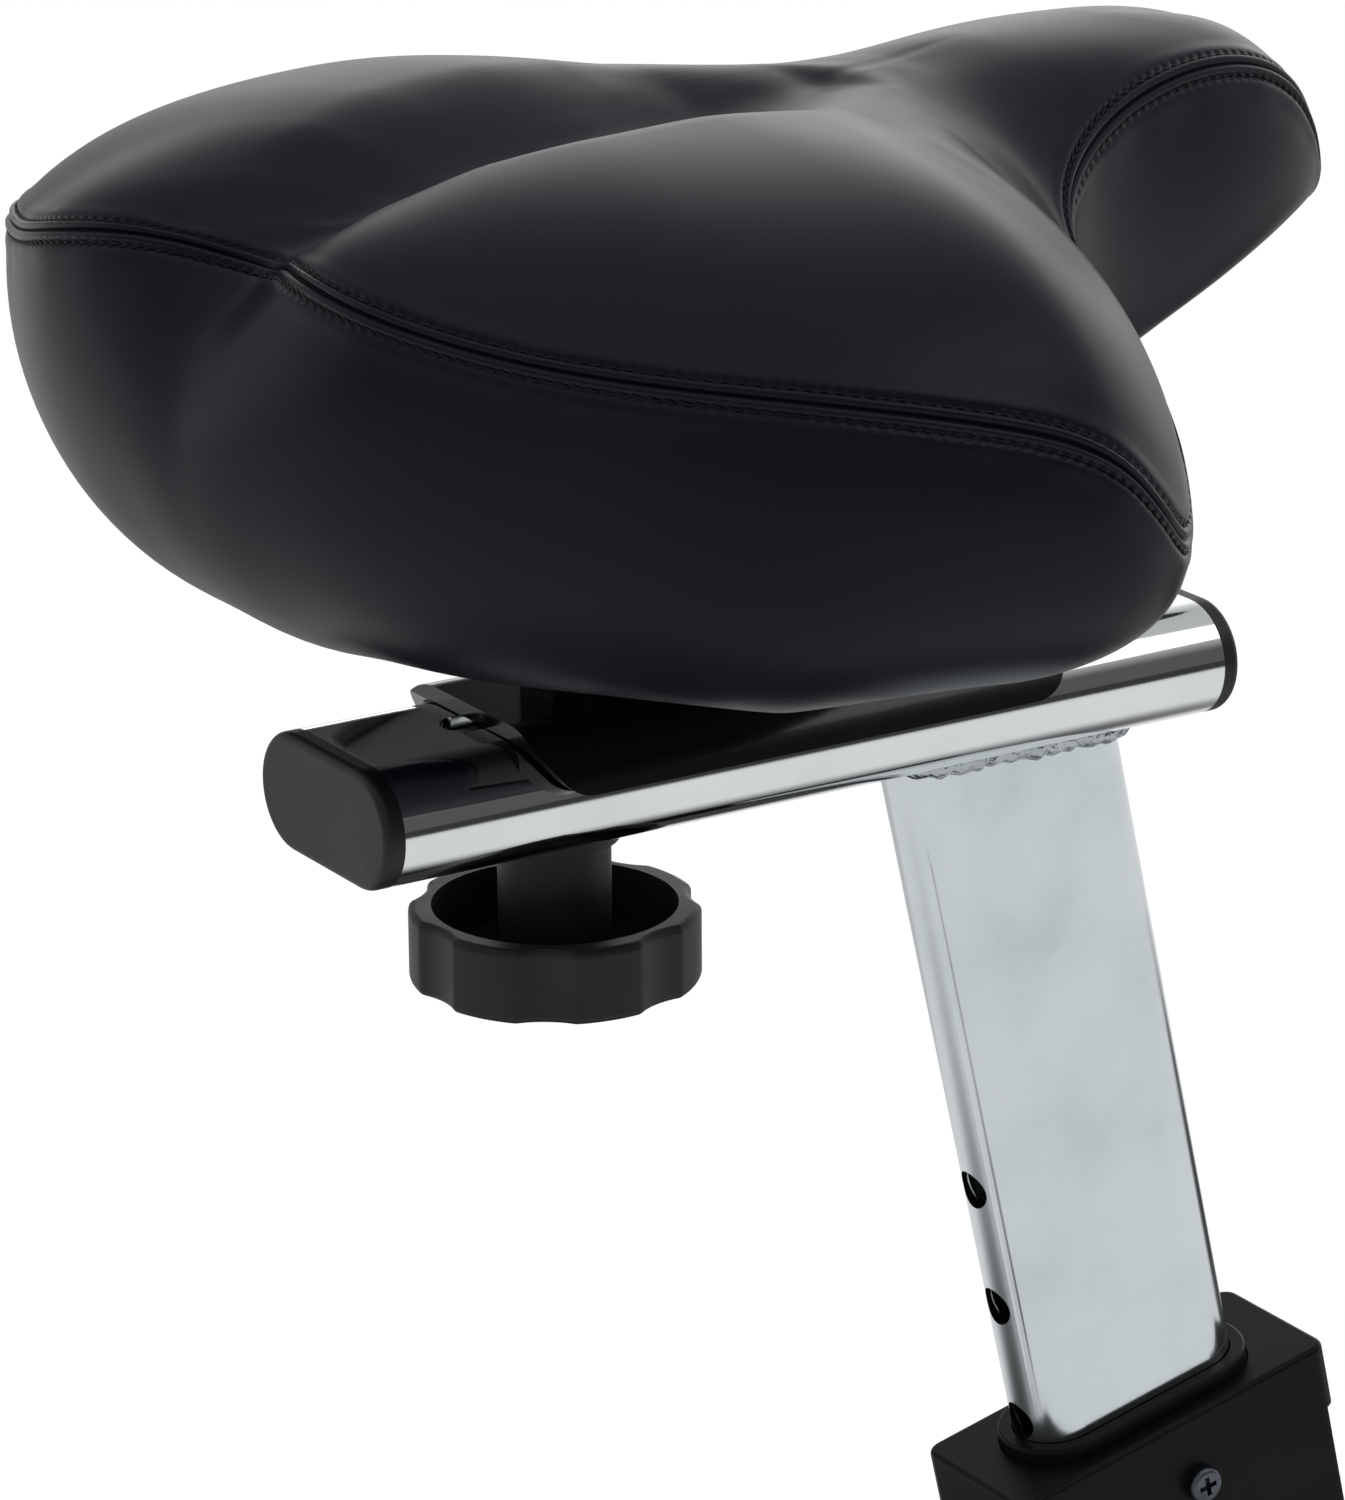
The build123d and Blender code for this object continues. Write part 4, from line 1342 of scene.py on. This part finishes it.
@dataclass
class Studio:
    """Camera at the photograph's view, white floor and soft light.

    Ranges of the room are parts of a unit direction: to the camera's right, away from it, or up.
    """

    eye: Triple = (-0.8145, -1.0041, 0.8377)
    azimuth: float = math.radians(-32.31)
    elevation: float = math.radians(18.55)
    roll: float = math.radians(-0.39)
    lens: float = 145.74
    sensor: float = 36.0
    nearest: float = 0.01
    # The floor, and the patches of painted shade on it that only reflections see
    floor_half: float = 15.0
    floor_low: float = -0.001
    floor_white: float = 0.8
    floor_glow: float = 1.15
    floor_seen: float = 0.8
    floor_mirrored: float = 0.42
    painted_shade_depth: float = 0.72
    patch_reach: Pair = (0.14, 0.34)
    patch_stretch: float = 1.7
    under_patch: Pair = (-0.075, 0.13)
    right_patch: Pair = (0.85, 0.28)
    rear_patch: Pair = (-0.05, 0.9)
    rear_level: float = 0.65
    front_reach: Pair = (1.5, 2.4)
    front_fade: Pair = (-0.5, 0.5)
    # The room: a dim level, a white wall, a dark card and a ceiling
    room_level: float = 0.38
    wall_level: float = 1.6
    wall_behind: Pair = (-0.1, 0.6)
    wall_top: Pair = (0.1, 0.75)
    wall_left: Pair = (-0.42, 0.12)
    wall_left_levels: Pair = (0.04, 1.1)
    wall_right: Pair = (0.2, 0.7)
    wall_right_levels: Pair = (1.0, 0.35)
    card_level: float = 0.1
    card_right: Pair = (0.45, 0.8)
    card_front: Pair = (-0.2, 0.05)
    card_top: Pair = (0.3, 0.6)
    ceiling_level: float = 0.16
    ceiling_from: Pair = (0.3, 0.9)
    boxes: tuple[SoftBox, ...] = (
        SoftBox("top_box", (-0.6, -0.4, 2.4), (2.0, 2.0), 3.5),
        SoftBox("key_box", (1.0, -1.0, 2.0), (1.0, 1.0), 4.0),
        SoftBox("right_box", (2.0, 0.6, 1.0), (1.2, 1.6), 3.5),
        SoftBox("left_box", (-1.6, 1.5, 1.0), (1.2, 1.6), 2.0),
    )

    @property
    def behind(self) -> Triple:
        """Level direction away from the camera."""
        return (-math.sin(self.azimuth), math.cos(self.azimuth), 0.0)

    @property
    def right(self) -> Triple:
        """Level direction to the camera's right."""
        return (math.cos(self.azimuth), math.sin(self.azimuth), 0.0)

    def camera(self) -> None:
        """Set up the camera."""
        data = bpy.data.cameras.new("photo_view")
        data.sensor_fit = "AUTO"
        data.sensor_width = self.sensor
        data.lens = self.lens
        data.clip_start = self.nearest
        stand = Matrix.Translation(self.eye)
        for angle, axis in ((self.azimuth, "Z"), (math.pi / 2 - self.elevation, "X"), (self.roll, "Z")):
            stand = stand @ Matrix.Rotation(angle, 4, axis)
        item = bpy.data.objects.new("photo_view", data)
        item.matrix_world = stand
        bpy.context.scene.collection.objects.link(item)
        bpy.context.scene.camera = item

    def clear_of(self, sheet: ShaderSheet, middle: Pair) -> Wire:
        """Distance on the floor from the middle of a patch that is longer along X.

        Args:
            sheet: The floor's sheet.
            middle: Middle of the patch.

        Returns:
            The distance in metres, as across the patch.
        """
        spot = sheet.place((self.patch_stretch, 1.0, 1.0))
        centre = (middle[0] / self.patch_stretch, middle[1], 0.0)
        return sheet.node("ShaderNodeVectorMath", {"operation": "DISTANCE"}, {0: spot, 1: centre}, "Value")

    def floor(self) -> None:
        """Lay a white floor that keeps the object's shadow and has painted shade in its reflections."""
        sheet = ShaderSheet.for_material("floor_white")
        rays = ("Is Camera Ray", "Is Glossy Ray", "Is Transmission Ray")
        camera, glossy, through = (sheet.node("ShaderNodeLightPath", output=ray) for ray in rays)
        # Painted shade that only reflections see: patches under and beside the object, and the floor far on
        # the camera's side
        under = self.clear_of(sheet, self.under_patch)
        beside = self.clear_of(sheet, self.right_patch).ramp(*self.patch_reach)
        beyond = self.clear_of(sheet, self.rear_patch).ramp(*self.patch_reach, self.rear_level, 1.0)
        nearby = under.ramp(*self.front_reach, 1.0, 0.0)
        backward = sheet.toward(sheet.node("ShaderNodeTexCoord", output="Object"), self.behind)
        unpainted_far_front = nearby + backward.ramp(*self.front_fade) * (1.0 - nearby)
        open_floor = under.ramp(*self.patch_reach) * beside * beyond * unpainted_far_front
        # Painted shade: reflections see the floor's colour and glow darkened outside the open floor
        shade = self.floor_white - self.painted_shade_depth * (glossy * (1.0 - open_floor))
        matt = sheet.node("ShaderNodeBsdfDiffuse", None, {"Color": shade})
        glow = sheet.node("ShaderNodeEmission", None, {"Color": WHITE, "Strength": self.floor_glow})
        share = camera * self.floor_seen + (glossy + through) * open_floor * self.floor_mirrored
        blend = sheet.node("ShaderNodeMixShader", None, {0: share, 1: matt, 2: glow})
        sheet.node("ShaderNodeOutputMaterial", None, {"Surface": blend})
        ways = ((-1, -1), (1, -1), (1, 1), (-1, 1))
        corners = [(x * self.floor_half, y * self.floor_half, self.floor_low) for x, y in ways]
        floor = new_piece("floor", np.array(corners) / MM, [(0, 1, 2, 3)], sheet.material)

    def room(self) -> None:
        """Light the room dimly, with a white wall behind the object and white to the camera."""
        world = bpy.data.worlds.new("studio")
        bpy.context.scene.world = world
        world.use_nodes = True
        sheet = ShaderSheet(world.node_tree)
        way = sheet.node("ShaderNodeTexCoord", output="Generated")
        behind = sheet.toward(way, self.behind)
        right = sheet.toward(way, self.right)
        up = sheet.part(way, "Z")
        wall = behind.ramp(*self.wall_behind) * up.ramp(*self.wall_top, 1.0, 0.0)
        wall = wall * right.ramp(*self.wall_left, *self.wall_left_levels)
        wall = wall * right.ramp(*self.wall_right, *self.wall_right_levels)
        card = right.ramp(*self.card_right) * behind.ramp(*self.card_front, 1.0, 0.0)
        card = card * up.ramp(*self.card_top, 1.0, 0.0)
        level = self.room_level - card * (self.room_level - self.card_level)
        level = level + wall * self.wall_level + up.ramp(*self.ceiling_from) * self.ceiling_level
        seen = sheet.node("ShaderNodeLightPath", output="Is Camera Ray")
        strength = level + seen * (1.0 - level)
        light = sheet.node("ShaderNodeBackground", None, {"Color": WHITE, "Strength": strength})
        sheet.node("ShaderNodeOutputWorld", None, {"Surface": light})

    def build(self) -> None:
        """Set the whole stage."""
        self.camera()
        self.floor()
        self.room()
        for box in self.boxes:
            box.hang()
        bpy.context.scene.view_settings.view_transform = "Standard"


@dataclass
class Dresser:
    """Puts finishes on the CAD nodes that stay as they are."""

    edge_radius: float = 1.2
    edge_segments: int = 3
    edge_angle: float = math.radians(40.0)

    @staticmethod
    def finishes() -> dict[str, bpy.types.Material]:
        """Make each finish once.

        Returns:
            The materials, by the slot that they belong to.
        """
        plastic = BLACK_PLASTIC.material()
        return {
            "slider_chrome": SLIDER_CHROME.material(),
            "post_plating": POST_PLATING.material(),
            "bracket_paint": BRACKET_PAINT.material(),
            "frame_paint": FRAME_PAINT.material(),
            "shroud_plastic": SHROUD_PLASTIC.material(),
            "black_plastic": plastic,
            "pan_plastic": PAN_PLASTIC.material(),
            "zinc": ZINC_PLATE.material(),
            "saddle_cover": plastic,
        }

    def dress(self) -> None:
        """Give every CAD node the finish of its slot, and the sleeve that of the shroud round it."""
        finishes = self.finishes()
        for entry in frame["record"]["subparts"]:
            item = frame["nodes"][entry["node"]]
            slot = "shroud_plastic" if item.name == "post_bush" else entry["material_slot"]
            for holder in item.material_slots:
                holder.material = finishes[slot]
            LOG.info("%s takes %s", item.name, finishes[slot].name)
        self.round_edges(frame["nodes"]["slider_bracket"])

    def round_edges(self, item: Mesh) -> None:
        """Break a node's sharp edges with a small radius.

        Args:
            item: The node.
        """
        bevel = item.modifiers.new("rounded_edges", "BEVEL")
        bevel.width = self.edge_radius * MM
        bevel.segments = self.edge_segments
        bevel.limit_method = "ANGLE"
        bevel.angle_limit = self.edge_angle
        bevel.harden_normals = True


def main() -> None:
    """Set the stage, dress the CAD nodes and build the pieces that take some nodes' place."""
    logging.basicConfig(level=logging.INFO, format="%(name)s: %(message)s")
    Studio().build()
    Dresser().dress()
    WeldBead().build(WELD_PLATING.material())
    SaddleCover().build(SaddleLeather().material(), SEAM_THREAD.material())


if __name__ == "__main__":
    main()
